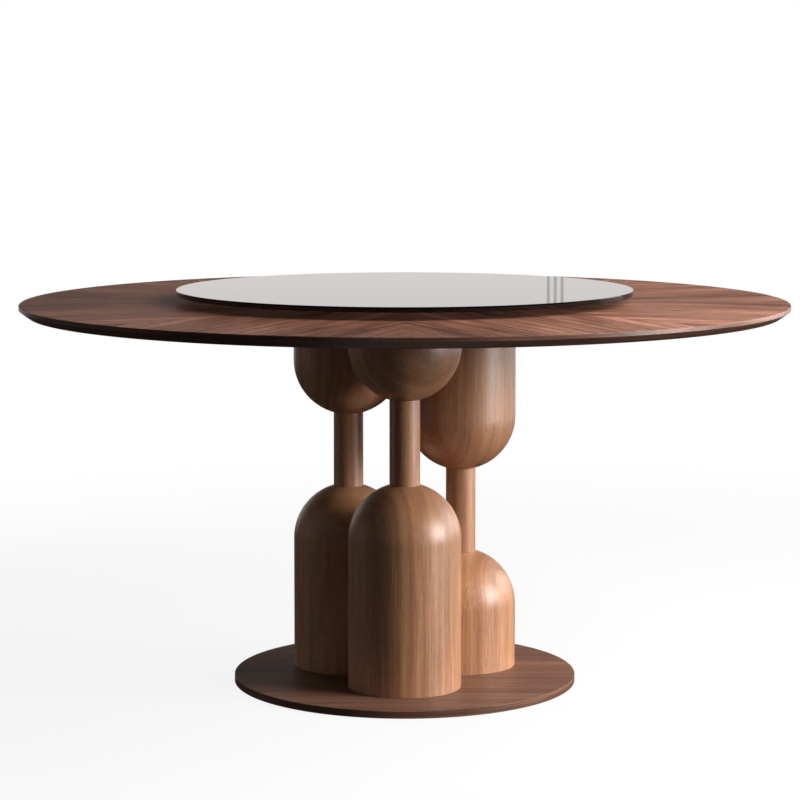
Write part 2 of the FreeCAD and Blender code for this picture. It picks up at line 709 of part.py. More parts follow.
def main():
    os.makedirs("parts", exist_ok=True)

    save("tabletop_core", make_core())
    save("tabletop_lipping", make_lipping())
    save("tabletop_veneer_leaves", make_leaves())
    save("tabletop_backer", make_backer())
    save("tabletop_inserts", make_inserts())

    save("mounting_plate", make_plate())
    save("mounting_bolts", make_plate_bolts())
    save("mounting_washers", make_plate_washers())

    foot_cuts = foot_screw_cuts()
    top_cuts = leg_top_screw_cuts()
    for name, (angle, lower_drum, upper_drum) in LEGS.items():
        x, y = leg_axis(angle)
        save(f"{name}_leg_lower", moved(make_lower_turning(lower_drum), x, y).cut(foot_cuts))
        save(f"{name}_leg_post", moved(make_post(lower_drum, upper_drum), x, y))
        save(f"{name}_leg_upper", moved(make_upper_turning(upper_drum), x, y).cut(top_cuts))
    save("tie_rods", make_tie_rods())
    save("tie_rod_washers", make_rod_washers())
    save("tie_rod_nuts", make_rod_nuts())
    save("leg_foot_screws", make_leg_screws(up=True))
    save("leg_top_screws", make_leg_screws(up=False))

    save("base_disc", make_base_disc())
    save("base_veneer", make_base_veneer())
    save("base_edge_band", make_base_edge())
    save("base_ballast_plate", make_ballast())
    save("ballast_screws", make_ballast_screws())
    save("floor_glides", make_glides())

    save("susan_fixed_ring", make_fixed_ring())
    save("susan_ring_screws", make_ring_screws())
    save("susan_balls", make_balls())
    save("susan_ball_cage", make_cage())
    save("susan_turning_ring", make_turning_ring())
    save("susan_pads", make_pads())
    save("susan_locating_ring", make_locating_ring())
    save("susan_glass", make_glass())


main()
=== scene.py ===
# %% [markdown]
# # A round dining table with a lazy susan
#
# The table is walnut. Eight wedge leaves of veneer meet in the middle of the top, and a solid walnut ring
# protects its edge. Three legs, each turned in two domed blocks joined by a slim post, stand on a round
# veneered base. A black glass turntable runs on a ball race in the middle of the top.
#
# The engineering model comes first and stays where it is. This lesson dresses it: pieces that show a curve
# are modelled again with smooth outlines, and every surface gets a finish made of shader nodes.

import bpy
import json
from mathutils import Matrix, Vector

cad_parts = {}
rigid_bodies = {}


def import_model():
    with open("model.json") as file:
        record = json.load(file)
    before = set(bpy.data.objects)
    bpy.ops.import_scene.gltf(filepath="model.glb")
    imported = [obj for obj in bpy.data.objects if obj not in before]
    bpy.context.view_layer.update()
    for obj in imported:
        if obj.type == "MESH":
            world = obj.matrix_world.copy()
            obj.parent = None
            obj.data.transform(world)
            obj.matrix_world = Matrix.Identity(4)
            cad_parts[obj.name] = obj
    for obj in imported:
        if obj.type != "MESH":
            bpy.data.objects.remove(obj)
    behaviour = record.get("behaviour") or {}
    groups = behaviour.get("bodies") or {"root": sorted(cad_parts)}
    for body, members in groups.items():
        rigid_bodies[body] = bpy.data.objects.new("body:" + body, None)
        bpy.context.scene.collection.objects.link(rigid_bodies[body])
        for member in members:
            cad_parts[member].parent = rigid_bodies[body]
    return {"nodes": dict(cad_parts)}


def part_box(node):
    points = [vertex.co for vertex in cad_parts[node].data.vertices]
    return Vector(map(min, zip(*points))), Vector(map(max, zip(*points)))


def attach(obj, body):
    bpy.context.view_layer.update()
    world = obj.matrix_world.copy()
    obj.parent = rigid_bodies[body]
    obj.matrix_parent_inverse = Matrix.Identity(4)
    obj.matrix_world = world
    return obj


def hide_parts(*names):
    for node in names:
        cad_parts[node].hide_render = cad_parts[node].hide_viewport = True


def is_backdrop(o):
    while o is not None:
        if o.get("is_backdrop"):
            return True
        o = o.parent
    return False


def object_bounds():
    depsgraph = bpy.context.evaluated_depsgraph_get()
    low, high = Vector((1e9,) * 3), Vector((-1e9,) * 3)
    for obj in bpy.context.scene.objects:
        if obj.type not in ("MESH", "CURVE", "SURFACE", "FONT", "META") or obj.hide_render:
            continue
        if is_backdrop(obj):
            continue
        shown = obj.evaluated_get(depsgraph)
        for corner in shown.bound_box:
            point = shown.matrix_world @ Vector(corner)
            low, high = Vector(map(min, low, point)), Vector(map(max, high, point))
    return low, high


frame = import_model()
cad_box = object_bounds()
print("nodes loaded:", len(frame["nodes"]))

# %% [markdown]
# ## Modules and units
#
# Blender works in metres, and a joiner thinks in millimetres, so one name turns one into the other.

# %% Modules and units
import json
import math

import bmesh
import bpy
from mathutils import Matrix, Vector

MM = 0.001

print("table:", [round(side / MM) for side in cad_box[1] - cad_box[0]], "mm")

# %% [markdown]
# ## The camera
#
# A catalogue picture of furniture is taken from well back with a long lens, so that the round top stays a
# calm ellipse. The lens shift moves the table up in the frame and keeps its uprights upright, which is what
# a photographer does with a rising front instead of tilting the camera further.

# %% Camera
CAMERA_PLACE = (-9.2 * MM, -4984.8 * MM, 1156.4 * MM)
CAMERA_TILT_DOWN = 4.012  # degrees
CAMERA_LENS = 114.67  # millimetres
FILM_WIDTH = 36.0
CAMERA_SHIFT = -0.16  # share of the picture's width

bpy.ops.object.camera_add(location=CAMERA_PLACE, rotation=(math.radians(90 - CAMERA_TILT_DOWN), 0, 0))
camera = bpy.context.object
camera.name = "camera"
camera.data.lens = CAMERA_LENS
camera.data.sensor_width = FILM_WIDTH
camera.data.shift_y = CAMERA_SHIFT
bpy.context.scene.camera = camera
bpy.context.scene.view_settings.view_transform = "Standard"
print("camera stands", round(-camera.location.y, 2), "m in front of the table's axis")

# %% [markdown]
# ## Helpers for shader nodes
#
# A finish is a small graph of nodes. The first helper turns a colour written as a web code, as a paint chart
# gives it, into the linear numbers that a shader works with. The second adds any node: its settings by name,
# and its inputs by their identifiers, where an input is either a plain value or another node's output. The
# third starts a material and sets what is the same all over it on the shader's own sockets.

# %% Shader helpers
def linear(code):
    """Turns an sRGB colour such as "8a6353" into linear red, green, blue and alpha."""
    shares = [int(code[place:place + 2], 16) / 255 for place in (0, 2, 4)]
    rgb = [share / 12.92 if share <= 0.04045 else ((share + 0.055) / 1.055) ** 2.4 for share in shares]
    return (*rgb, 1.0)


def add(tree, kind, inputs=None, output=0, **settings):
    """Adds a node, sets it up, fills or links its inputs, and returns one of its outputs."""
    node = tree.nodes.new(kind)
    for name, value in settings.items():
        setattr(node, name, value)
    for name, value in (inputs or {}).items():
        socket = next(socket for socket in node.inputs if socket.identifier == name)
        if isinstance(value, bpy.types.NodeSocket):
            tree.links.new(value, socket)
        else:
            socket.default_value = value
    return node.outputs[output] if node.outputs else node


def new_material(name, **sockets):
    """Makes a material, and sets the sockets of its shader that are the same all over the surface."""
    material = bpy.data.materials.new(name)
    material.use_nodes = True
    shader = material.node_tree.nodes["Principled BSDF"]
    for socket, value in sockets.items():
        shader.inputs[socket.replace("_", " ")].default_value = value
    return material, material.node_tree, shader.inputs


print("walnut brown in linear light:", [round(share, 3) for share in linear("8a6353")])

# %% [markdown]
# ## What is seen and what is reflected
#
# In a studio the camera sees white paper, while whatever reflects sees the walls around it. A shader can keep
# the two apart, because it may ask what kind of ray has met it. The floor and the room share two helpers. One
# knows the rays that are seen. The other knows how squarely a direction faces the room's bright wall.

# %% Rays and the bright wall
WALL_MIDDLE = math.radians(68)  # the bright wall's middle, from the right towards the back
WALL_EDGE = math.cos(math.radians(64))  # it starts this far to either side of its middle
WALL_FULL = math.cos(math.radians(50))  # and is fully bright from here inwards


def seen_rays(tree, path):
    """1 for rays that are seen, straight or through a clear piece, and 0 for all others."""
    return add(tree, "ShaderNodeMath", {
        "Value": path["Is Camera Ray"],
        "Value_001": path["Is Transmission Ray"],
    }, operation="MAXIMUM")


def wall_share(tree, direction):
    """1 for directions towards the bright wall and 0 for those away from it, with a soft step between."""
    towards_wall = add(tree, "ShaderNodeVectorMath", {
        "Vector": direction,
        "Vector_001": (math.cos(WALL_MIDDLE), math.sin(WALL_MIDDLE), 0),
    }, output="Value", operation="DOT_PRODUCT")
    return add(tree, "ShaderNodeMapRange", {
        "Value": towards_wall,
        "From Min": WALL_EDGE,
        "From Max": WALL_FULL,
    }, interpolation_type="SMOOTHSTEP")


print("bright wall", round(math.degrees(WALL_MIDDLE)), "degrees from the right")

# %% [markdown]
# ## The floor
#
# The table stands on a plain pale sweep. The camera sees it as nearly white, and it still takes the table's
# soft shadow, because a small part of its brightness is real reflected light and the rest is given off.
# Further out it turns to pure white, so that no edge shows against the background. Bounced light and
# reflections find a dark floor, as in a studio with black cloth laid round the set, so that the shadow sides
# and undersides stay deep. Only its far part, at the foot of the bright wall, shines in reflections. From
# underneath the floor is clear, and it lets light up, so that the underside can be looked at.

# %% Floor
FLOOR_RADIUS = 12.0
FLOOR_SEGMENTS = 96
SHADOW_FLOOR_RADIUS = 1.4  # within this the floor takes the shadow
WHITE_FLOOR_RADIUS = 3.2  # past this it is plain white
FLOOR_GLOW = 0.88
FLOOR_SHADE = 0.12
LIT_FLOOR_START = 3.0  # from here outwards reflections find a lit floor at the foot of the bright wall
LIT_FLOOR_FULL = 6.0
LIT_FLOOR_GLOW = 0.6
BLACK_CLOTH = "2b2826"

bpy.ops.object.select_all(action="DESELECT")
bpy.ops.mesh.primitive_circle_add(vertices=FLOOR_SEGMENTS, radius=FLOOR_RADIUS, fill_type="NGON")
floor = bpy.context.object
floor.name = "floor"
floor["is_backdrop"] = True

floor_material = bpy.data.materials.new("studio_floor_matt_white")
floor_material.use_nodes = True
tree = floor_material.node_tree
tree.nodes.clear()
path = add(tree, "ShaderNodeLightPath").node.outputs
place = add(tree, "ShaderNodeTexCoord", output="Object")
distance = add(tree, "ShaderNodeVectorMath", {"Vector": place}, output="Value", operation="LENGTH")
far = add(tree, "ShaderNodeMapRange", {
    "Value": distance,
    "From Min": SHADOW_FLOOR_RADIUS,
    "From Max": WHITE_FLOOR_RADIUS,
}, interpolation_type="SMOOTHSTEP")
glow_level = add(tree, "ShaderNodeMapRange", {"Value": far, "To Min": FLOOR_GLOW, "To Max": 1.0})
shade_level = add(tree, "ShaderNodeMapRange", {"Value": far, "To Min": FLOOR_SHADE, "To Max": 0.0})
glow = add(tree, "ShaderNodeEmission", {"Strength": glow_level})
shade = add(tree, "ShaderNodeBsdfDiffuse", {"Color": shade_level})
seen_floor = add(tree, "ShaderNodeAddShader", {"Shader": glow, "Shader_001": shade})
level = add(tree, "ShaderNodeVectorMath", {"Vector": place}, operation="NORMALIZE")
lit_side = wall_share(tree, level)
lit_distance = add(tree, "ShaderNodeMapRange", {
    "Value": distance,
    "From Min": LIT_FLOOR_START,
    "From Max": LIT_FLOOR_FULL,
}, interpolation_type="SMOOTHSTEP")
lit_part = add(tree, "ShaderNodeMath", {"Value": lit_side, "Value_001": lit_distance}, operation="MULTIPLY")
lit_gloss = add(tree, "ShaderNodeMath", {
    "Value": lit_part,
    "Value_001": path["Is Glossy Ray"],
}, operation="MULTIPLY")
black_cloth = add(tree, "ShaderNodeBsdfDiffuse", {"Color": linear(BLACK_CLOTH)})
lit_floor = add(tree, "ShaderNodeEmission", {"Strength": LIT_FLOOR_GLOW})
unseen_floor = add(tree, "ShaderNodeMixShader", {
    "Fac": lit_gloss,
    "Shader": black_cloth,
    "Shader_001": lit_floor,
})
seen = seen_rays(tree, path)
top_side = add(tree, "ShaderNodeMixShader", {"Fac": seen, "Shader": unseen_floor, "Shader_001": seen_floor})
from_below = add(tree, "ShaderNodeNewGeometry", output="Backfacing")
lets_through = add(tree, "ShaderNodeMath", {
    "Value": from_below,
    "Value_001": path["Is Shadow Ray"],
}, operation="MAXIMUM")
clear = add(tree, "ShaderNodeBsdfTransparent")
whole_floor = add(tree, "ShaderNodeMixShader", {"Fac": lets_through, "Shader": top_side, "Shader_001": clear})
add(tree, "ShaderNodeOutputMaterial", {"Surface": whole_floor})
floor.data.materials.append(floor_material)
print("floor radius", FLOOR_RADIUS, "m")

# %% [markdown]
# ## The room
#
# The room is a white background for the camera and for what is seen through clear pieces. What reflects
# sees the foot of a bright, slightly warm wall behind the table and to its right, and dark walls elsewhere.
# That is why the glass shines like a pale sheet while its front rim stays black. Three thin window bars stand
# in that wall: their mirror image tells the eye that the glass is polished. Straight above, a pale ceiling
# gives the glass a faint sheen for whoever looks down on it. Bounced light finds only a dim grey room.

# %% Room
ROOM_GLIMMER = 0.04  # dark walls, as seen in a reflection
ROOM_DIM = 0.02  # what bounced light finds
WALL_TINT = "fffbf9"
WALL_GLOW = 0.97
WALL_TOP_START = 0.10  # heights of the ray's direction between which the wall fades to dark
WALL_TOP_END = 0.20
BARS_MIDDLE = 0.0611  # steps to the right for each step back, towards the middle window bar
BAR_SPACING = 0.0027
BARS_REACH = 1.4  # spacings from the middle bar to just past the outer ones
BAR_CORE = 0.12  # spacings from a bar's middle to where its soft rim starts and ends
BAR_RIM = 0.30
BAR_SHADE = 0.4
CEILING_START = 0.80  # height of the ray's direction where the pale ceiling starts
CEILING_GLOW = 0.45

room = bpy.data.worlds.new("studio_room")
bpy.context.scene.world = room
room.use_nodes = True
tree = room.node_tree
tree.nodes.clear()
path = add(tree, "ShaderNodeLightPath").node.outputs
direction = add(tree, "ShaderNodeTexCoord", output="Generated")
split = add(tree, "ShaderNodeSeparateXYZ", {"Vector": direction}).node.outputs
wall = wall_share(tree, direction)
low = add(tree, "ShaderNodeMapRange", {
    "Value": split["Z"],
    "From Min": WALL_TOP_START,
    "From Max": WALL_TOP_END,
    "To Min": 1.0,
    "To Max": 0.0,
}, interpolation_type="SMOOTHSTEP")
lit_wall = add(tree, "ShaderNodeMath", {"Value": wall, "Value_001": low}, operation="MULTIPLY")
slope = add(tree, "ShaderNodeMath", {"Value": split["X"], "Value_001": split["Y"]}, operation="DIVIDE")
from_middle = add(tree, "ShaderNodeMath", {"Value": slope, "Value_001": BARS_MIDDLE}, operation="SUBTRACT")
spaces = add(tree, "ShaderNodeMath", {"Value": from_middle, "Value_001": BAR_SPACING}, operation="DIVIDE")
count = add(tree, "ShaderNodeMath", {"Value": spaces}, operation="ABSOLUTE")
to_bar = add(tree, "ShaderNodeMath", {"Value": count, "Value_001": 0.5}, operation="PINGPONG")
bar = add(tree, "ShaderNodeMapRange", {
    "Value": to_bar,
    "From Min": BAR_CORE,
    "From Max": BAR_RIM,
    "To Min": BAR_SHADE,
    "To Max": 0.0,
})
inside = add(tree, "ShaderNodeMath", {"Value": count, "Value_001": BARS_REACH}, operation="LESS_THAN")
shaded = add(tree, "ShaderNodeMath", {"Value": bar, "Value_001": inside}, operation="MULTIPLY")
unshaded = add(tree, "ShaderNodeMath", {"Value": 1.0, "Value_001": shaded}, operation="SUBTRACT")
barred_wall = add(tree, "ShaderNodeMath", {"Value": lit_wall, "Value_001": unshaded}, operation="MULTIPLY")
wall_glow = add(tree, "ShaderNodeMapRange", {
    "Value": barred_wall,
    "To Min": ROOM_GLIMMER,
    "To Max": WALL_GLOW,
})
ceiling = add(tree, "ShaderNodeMapRange", {
    "Value": split["Z"],
    "From Min": CEILING_START,
    "From Max": 1.0,
    "To Min": 0.0,
    "To Max": CEILING_GLOW,
}, interpolation_type="SMOOTHSTEP")
reflected = add(tree, "ShaderNodeMath", {"Value": wall_glow, "Value_001": ceiling})
behind_gloss = add(tree, "ShaderNodeMix", {
    "Factor_Float": path["Is Glossy Ray"],
    "A_Float": ROOM_DIM,
    "B_Float": reflected,
})
seen = seen_rays(tree, path)
strength = add(tree, "ShaderNodeMix", {"Factor_Float": seen, "A_Float": behind_gloss, "B_Float": 1.0})
tint = add(tree, "ShaderNodeMix", {
    "Factor_Float": seen,
    "A_Color": linear(WALL_TINT),
    "B_Color": linear("ffffff"),
}, output=2, data_type="RGBA")
background = add(tree, "ShaderNodeBackground", {"Color": tint, "Strength": strength})
add(tree, "ShaderNodeOutputWorld", {"Surface": background})
print("room glow for bounced light", ROOM_DIM)

# %% [markdown]
# ## The lamps
#
# Furniture is lit so that its roundness shows. A large lamp on the right works as a window, with a weaker
# one further back. A lower one beside it makes the turnings' highlights, and one above lights the veneer. On
# the dark side a faint bluish lamp draws the edges out of the shadow, and two fills keep the far sides
# readable. A small lamp below the clear floor lights the underside of the base. Satin veneer and black glass
# would show most of them as glaring patches, so these are hidden from reflections.
#
# A lamp's level is the brightness of a white card that stands at the aimed point and faces the lamp, as a
# share of full white. The power that this takes grows with the square of the distance.

# %% Lamps
def lamp(name, place, aim, width, height, level, colour="ffffff", mirrored=True):
    """Adds a softbox that faces an aimed point and lights it to a level, and may stay out of mirrors."""
    reach = Vector(aim) - Vector(place)
    facing = reach.to_track_quat("-Z", "Y").to_euler()
    bpy.ops.object.light_add(type="AREA", location=place, rotation=facing)
    light = bpy.context.object
    light.name = name
    light.data.shape = "RECTANGLE"
    light.data.size = width
    light.data.size_y = height
    light.data.energy = level * math.pi ** 2 * reach.length_squared
    light.data.color = linear(colour)[:3]
    light.visible_camera = False
    light.visible_glossy = mirrored
    return light


BASE_MIDDLE = (0.0, 0.0, 0.0)
LEGS_MIDDLE = (0.0, 0.0, 0.35)
TOP_MIDDLE = (0.0, 0.0, 0.75)
lamp("window_lamp", (2.80, -0.84, 1.60), LEGS_MIDDLE, 1.7, 1.4, 1.04, "fff8f2", mirrored=False)
highlight = lamp("highlight_lamp", (3.50, -1.12, 1.12), LEGS_MIDDLE, 1.5, 1.1, 0.54, "fffcfa")
lamp("back_window_lamp", (2.75, 1.55, 1.30), LEGS_MIDDLE, 1.4, 1.6, 0.18)
lamp("high_lamp", (1.25, -0.60, 1.75), TOP_MIDDLE, 1.0, 1.0, 0.96, mirrored=False)
lamp("dark_side_lamp", (-3.30, 0.40, 0.35), LEGS_MIDDLE, 0.9, 1.4, 0.11, "d8e8ff", mirrored=False)
lamp("back_fill_lamp", (-1.60, 3.00, 1.10), LEGS_MIDDLE, 1.4, 1.4, 0.16, mirrored=False)
lamp("front_fill_lamp", (-1.20, -3.60, 0.90), LEGS_MIDDLE, 1.6, 1.2, 0.02, mirrored=False)
lamp("underside_lamp", (0.0, 0.0, -0.60), BASE_MIDDLE, 0.3, 0.3, 0.25)

# %% [markdown]
# ## Walnut
#
# Walnut is a brown wood with uneven growth bands, fine long streaks and open pores that show as short dark
# dashes along the grain. The eye reads it by scale: bands are some 10 to 30 mm apart, streaks a few
# millimetres, pores a fraction of that. The bands are rings round the tree's pith, so the pattern is worked
# out from the distance to a pith line that lies beside the board. Every board and turning carries its own
# grain coordinates, in metres: the first runs along the wood and the other two lie across it.

# %% Wood figure
PALE_NOISE = 0.32  # noise levels that stand for the palest and the darkest wood
DARK_NOISE = 0.68


def fibres(tree, grain, length, width, detail=2.0, output="Fac"):
    """Noise whose cells are a given length along the grain and a given width across it."""
    cells = add(tree, "ShaderNodeMapping", {"Vector": grain, "Scale": (1 / length, 1 / width, 1 / width)})
    return add(tree, "ShaderNodeTexNoise", {
        "Vector": cells,
        "Scale": 1.0,
        "Detail": detail,
        "Roughness": 0.55,
    }, output)


def growth_bands(tree, grain, pith, band_width, wander):
    """Uneven bands round a pith line that wanders a little along the tree, from 0 for pale to 1 for dark."""
    drift = fibres(tree, grain, length=500 * MM, width=110 * MM, output="Color")
    drifted = add(tree, "ShaderNodeVectorMath", {
        "Vector": drift,
        "Vector_001": (0, wander, wander),
        "Vector_002": grain,
    }, operation="MULTIPLY_ADD")
    across = add(tree, "ShaderNodeVectorMath", {
        "Vector": drifted,
        "Vector_001": (0, 1, 1),
    }, operation="MULTIPLY")
    from_pith = add(tree, "ShaderNodeVectorMath", {
        "Vector": across,
        "Vector_001": (0, *pith),
    }, output="Value", operation="DISTANCE")
    ring = add(tree, "ShaderNodeMath", {"Value": from_pith, "Value_001": band_width}, operation="DIVIDE")
    along = add(tree, "ShaderNodeSeparateXYZ", {"Vector": grain}, output="X")
    spot = add(tree, "ShaderNodeCombineXYZ", {"X": ring, "Y": along})
    uneven = add(tree, "ShaderNodeTexNoise", {
        "Vector": spot,
        "Scale": 1.0,
        "Detail": 4.0,
        "Roughness": 0.65,
    }, noise_dimensions="2D")
    return add(tree, "ShaderNodeMapRange", {"Value": uneven, "From Min": PALE_NOISE, "From Max": DARK_NOISE})


print("noise of pale and dark wood:", PALE_NOISE, DARK_NOISE)

# %% [markdown]
# ## The wood's finish
#
# The wood is stained, sanded and sprayed with satin lacquer. So the streaks tint the colour, the pores are
# darker and a little sunken, and the lacquer gives a soft highlight that the pores roughen. Pores are really
# 0.1 to 0.2 mm wide: they are drawn up to 1 mm wide, because finer ones would not show.

# %% Wood finish
NOISE_LOW = 0.3  # nearly all of a fine noise lies between these two levels
NOISE_HIGH = 0.7
BOARD_DRIFT = 0.14  # how far the brightness drifts along a board, up and down
PORE_START = 0.58  # noise levels between which a pore opens
PORE_FULL = 0.67
PORE_TINT = 0.55  # how much the colour of the pores covers the wood's
PORE_ROUGHNESS = 0.15  # what a pore adds to the lacquer's own roughness
RELIEF_DEPTH = 0.15 * MM
RELIEF_STRENGTH = 0.25


def finish_wood(tree, shader, bands, slow, streaks, pores, colours, line_depth, satin):
    """Colours a wooden surface from its figure, and gives it the satin lacquer's roughness and relief."""
    pale, dark, pore = colours
    wood = add(tree, "ShaderNodeMix", {
        "Factor_Float": bands,
        "A_Color": linear(pale),
        "B_Color": linear(dark),
    }, output=2, data_type="RGBA")
    board = add(tree, "ShaderNodeMapRange", {
        "Value": slow,
        "From Min": NOISE_LOW,
        "From Max": NOISE_HIGH,
        "To Min": 1 - BOARD_DRIFT,
        "To Max": 1 + BOARD_DRIFT,
    })
    fine = add(tree, "ShaderNodeMapRange", {"Value": streaks, "From Min": NOISE_LOW, "From Max": NOISE_HIGH})
    line = add(tree, "ShaderNodeMapRange", {
        "Value": fine,
        "To Min": 1 - line_depth,
        "To Max": 1 + line_depth,
    })
    shade = add(tree, "ShaderNodeMath", {"Value": board, "Value_001": line}, operation="MULTIPLY")
    shaded = add(tree, "ShaderNodeVectorMath", {"Vector": wood, "Scale": shade}, operation="SCALE")
    open_pores = add(tree, "ShaderNodeMapRange", {
        "Value": pores,
        "From Min": PORE_START,
        "From Max": PORE_FULL,
    }, interpolation_type="SMOOTHSTEP")
    tinted = add(tree, "ShaderNodeMath", {"Value": open_pores, "Value_001": PORE_TINT}, operation="MULTIPLY")
    colour = add(tree, "ShaderNodeMix", {
        "Factor_Float": tinted,
        "A_Color": shaded,
        "B_Color": linear(pore),
    }, output=2, data_type="RGBA")
    tree.links.new(colour, shader["Base Color"])
    lacquer = add(tree, "ShaderNodeMapRange", {"Value": fine, "To Min": satin[0], "To Max": satin[1]})
    rough = add(tree, "ShaderNodeMath", {
        "Value": open_pores,
        "Value_001": PORE_ROUGHNESS,
        "Value_002": lacquer,
    }, operation="MULTIPLY_ADD")
    tree.links.new(rough, shader["Roughness"])
    relief = add(tree, "ShaderNodeMath", {"Value": streaks, "Value_001": open_pores}, operation="SUBTRACT")
    bump = add(tree, "ShaderNodeBump", {
        "Height": relief,
        "Strength": RELIEF_STRENGTH,
        "Distance": RELIEF_DEPTH,
    })
    tree.links.new(bump, shader["Normal"])


print("relief of the grain:", RELIEF_DEPTH / MM, "mm")

# %% [markdown]
# ## Four walnuts
#
# One recipe gives all the flat and turned wood. The top has wide bands and deep long streaks, the turnings
# are finer and redder, and the base is plain. The veneers wear a thin lacquer with little shine. The turnings
# wear a thick coat with a strong, broad highlight, which lets the eye read a drum as round.

# %% Walnut boards and turnings
def walnut(name, colours, pith, band_width, wander, line, pore, satin, **sockets):
    """Walnut that is cut flat or turned, on a piece that carries grain coordinates.

    Its colours are those of pale wood, dark wood and pores. A streak line is given by its length, its width
    and how deep it tints, and a pore by its length and width.
    """
    material, tree, shader = new_material(name, IOR=1.5, **sockets)
    grain = add(tree, "ShaderNodeAttribute", output="Vector", attribute_name="grain")
    bands = growth_bands(tree, grain, pith, band_width, wander)
    slow = fibres(tree, grain, length=700 * MM, width=60 * MM)
    line_length, line_width, line_depth = line
    streaks = fibres(tree, grain, line_length, line_width, detail=3.0)
    pores = fibres(tree, grain, *pore)
    finish_wood(tree, shader, bands, slow, streaks, pores, colours, line_depth, satin)
    return material


top_walnut = walnut(
    "sunburst_walnut_veneer_satin_lacquer",
    colours=("aa7864", "664235", "2c1b15"),
    pith=(-250 * MM, -260 * MM),
    band_width=30 * MM,
    wander=16 * MM,
    line=(400 * MM, 8 * MM, 0.66),
    pore=(45 * MM, 2.2 * MM),
    satin=(0.42, 0.50),
    Specular_IOR_Level=0.18,
)
turned_walnut = walnut(
    "turned_solid_walnut_satin_lacquer",
    colours=("c8956c", "a67151", "64382a"),
    pith=(-90 * MM, -150 * MM),
    band_width=13 * MM,
    wander=24 * MM,
    line=(110 * MM, 2.4 * MM, 0.22),
    pore=(26 * MM, 1.0 * MM),
    satin=(0.50, 0.56),
    Specular_IOR_Level=0.9,
    Coat_Weight=1.0,
    Coat_Roughness=0.41,
    Coat_IOR=1.9,
)
base_walnut = walnut(
    "straight_grain_walnut_veneer_satin_lacquer",
    colours=("8a6554", "6c4d3f", "3a2720"),
    pith=(500 * MM, -300 * MM),
    band_width=26 * MM,
    wander=20 * MM,
    line=(160 * MM, 4 * MM, 0.16),
    pore=(20 * MM, 1.2 * MM),
    satin=(0.42, 0.50),
    Specular_IOR_Level=0.15,
)
backing_walnut = walnut(
    "walnut_backing_veneer_thin_lacquer",
    colours=("80604f", "604437", "3a2720"),
    pith=(-700 * MM, -300 * MM),
    band_width=20 * MM,
    wander=20 * MM,
    line=(160 * MM, 4 * MM, 0.16),
    pore=(20 * MM, 1.2 * MM),
    satin=(0.48, 0.56),
    Specular_IOR_Level=0.25,
)
print("nodes in each walnut:", len(top_walnut.node_tree.nodes))

# %% [markdown]
# ## Walnut round a rim
#
# The solid ring round the top and the thin band round the base are bent or jointed, so their grain follows
# the rim. A noise that read the angle would have a seam where the circle closes. Instead the outward
# direction is blown up to the rim's own size and fed to a noise of four dimensions, with the radius as the
# fourth, so the streaks run round without end.

# %% Walnut for rims
RIM_LINE_DEPTH = 0.2


def rim_walnut(name, radius, colours, satin, gloss):
    """Walnut whose grain follows a round rim of a given radius."""
    material, tree, shader = new_material(name, IOR=1.5, Specular_IOR_Level=gloss)
    place = add(tree, "ShaderNodeTexCoord", output="Object")
    level = add(tree, "ShaderNodeVectorMath", {
        "Vector": place,
        "Vector_001": (1, 1, 0),
    }, operation="MULTIPLY")
    outward = add(tree, "ShaderNodeVectorMath", {"Vector": level}, operation="NORMALIZE")
    reach = add(tree, "ShaderNodeVectorMath", {"Vector": level}, output="Value", operation="LENGTH")
    height = add(tree, "ShaderNodeSeparateXYZ", {"Vector": place}, output="Z")

    def round_noise(length, width, detail=2.0):
        """Noise whose cells are a given length round the rim and a given width across it."""
        turns = radius / length
        around = add(tree, "ShaderNodeVectorMath", {"Vector": outward, "Scale": turns}, operation="SCALE")
        rise = add(tree, "ShaderNodeMath", {"Value": height, "Value_001": width}, operation="DIVIDE")
        lift = add(tree, "ShaderNodeCombineXYZ", {"Z": rise})
        spot = add(tree, "ShaderNodeVectorMath", {"Vector": around, "Vector_001": lift})
        depth = add(tree, "ShaderNodeMath", {"Value": reach, "Value_001": width}, operation="DIVIDE")
        return add(tree, "ShaderNodeTexNoise", {
            "Vector": spot,
            "W": depth,
            "Scale": 1.0,
            "Detail": detail,
            "Roughness": 0.55,
        }, noise_dimensions="4D")

    broad = round_noise(length=260 * MM, width=7 * MM)
    bands = add(tree, "ShaderNodeMapRange", {"Value": broad, "From Min": PALE_NOISE, "From Max": DARK_NOISE})
    slow = round_noise(length=400 * MM, width=60 * MM)
    streaks = round_noise(length=60 * MM, width=2.2 * MM, detail=3.0)
    pores = round_noise(length=12 * MM, width=0.5 * MM)
    finish_wood(tree, shader, bands, slow, streaks, pores, colours, RIM_LINE_DEPTH, satin)
    return material


TOP_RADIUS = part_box("tabletop_lipping")[1].x
BASE_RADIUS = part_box("base_edge_band")[1].x
edge_walnut = rim_walnut(
    "solid_walnut_lipping_satin_lacquer",
    TOP_RADIUS,
    colours=("7c594a", "4c342a", "2a1b15"),
    satin=(0.28, 0.36),
    gloss=0.9,
)
band_walnut = rim_walnut(
    "walnut_edge_band_satin_lacquer",
    BASE_RADIUS,
    colours=("86624f", "62463a", "3a2720"),
    satin=(0.32, 0.40),
    gloss=0.7,
)
print("rims:", round(TOP_RADIUS / MM, 1), round(BASE_RADIUS / MM, 1), "mm")

# %% [markdown]
# ## Helpers for modelling
#
# Each piece is modelled as by hand. A primitive is added at its size and place, opened in edit mode and
# shaped with operators. An operator works on all that is selected, so faces and edges are picked by where
# they lie. Most pieces here are round and start as a cylinder with many sides.

# %% Modelling helpers
RIM_SEGMENTS = 384
SAME_LENGTH = 0.01 * MM  # lengths closer than this count as the same
LEVEL_FACE = 0.9  # a face counts as level where its normal has this much of up or down


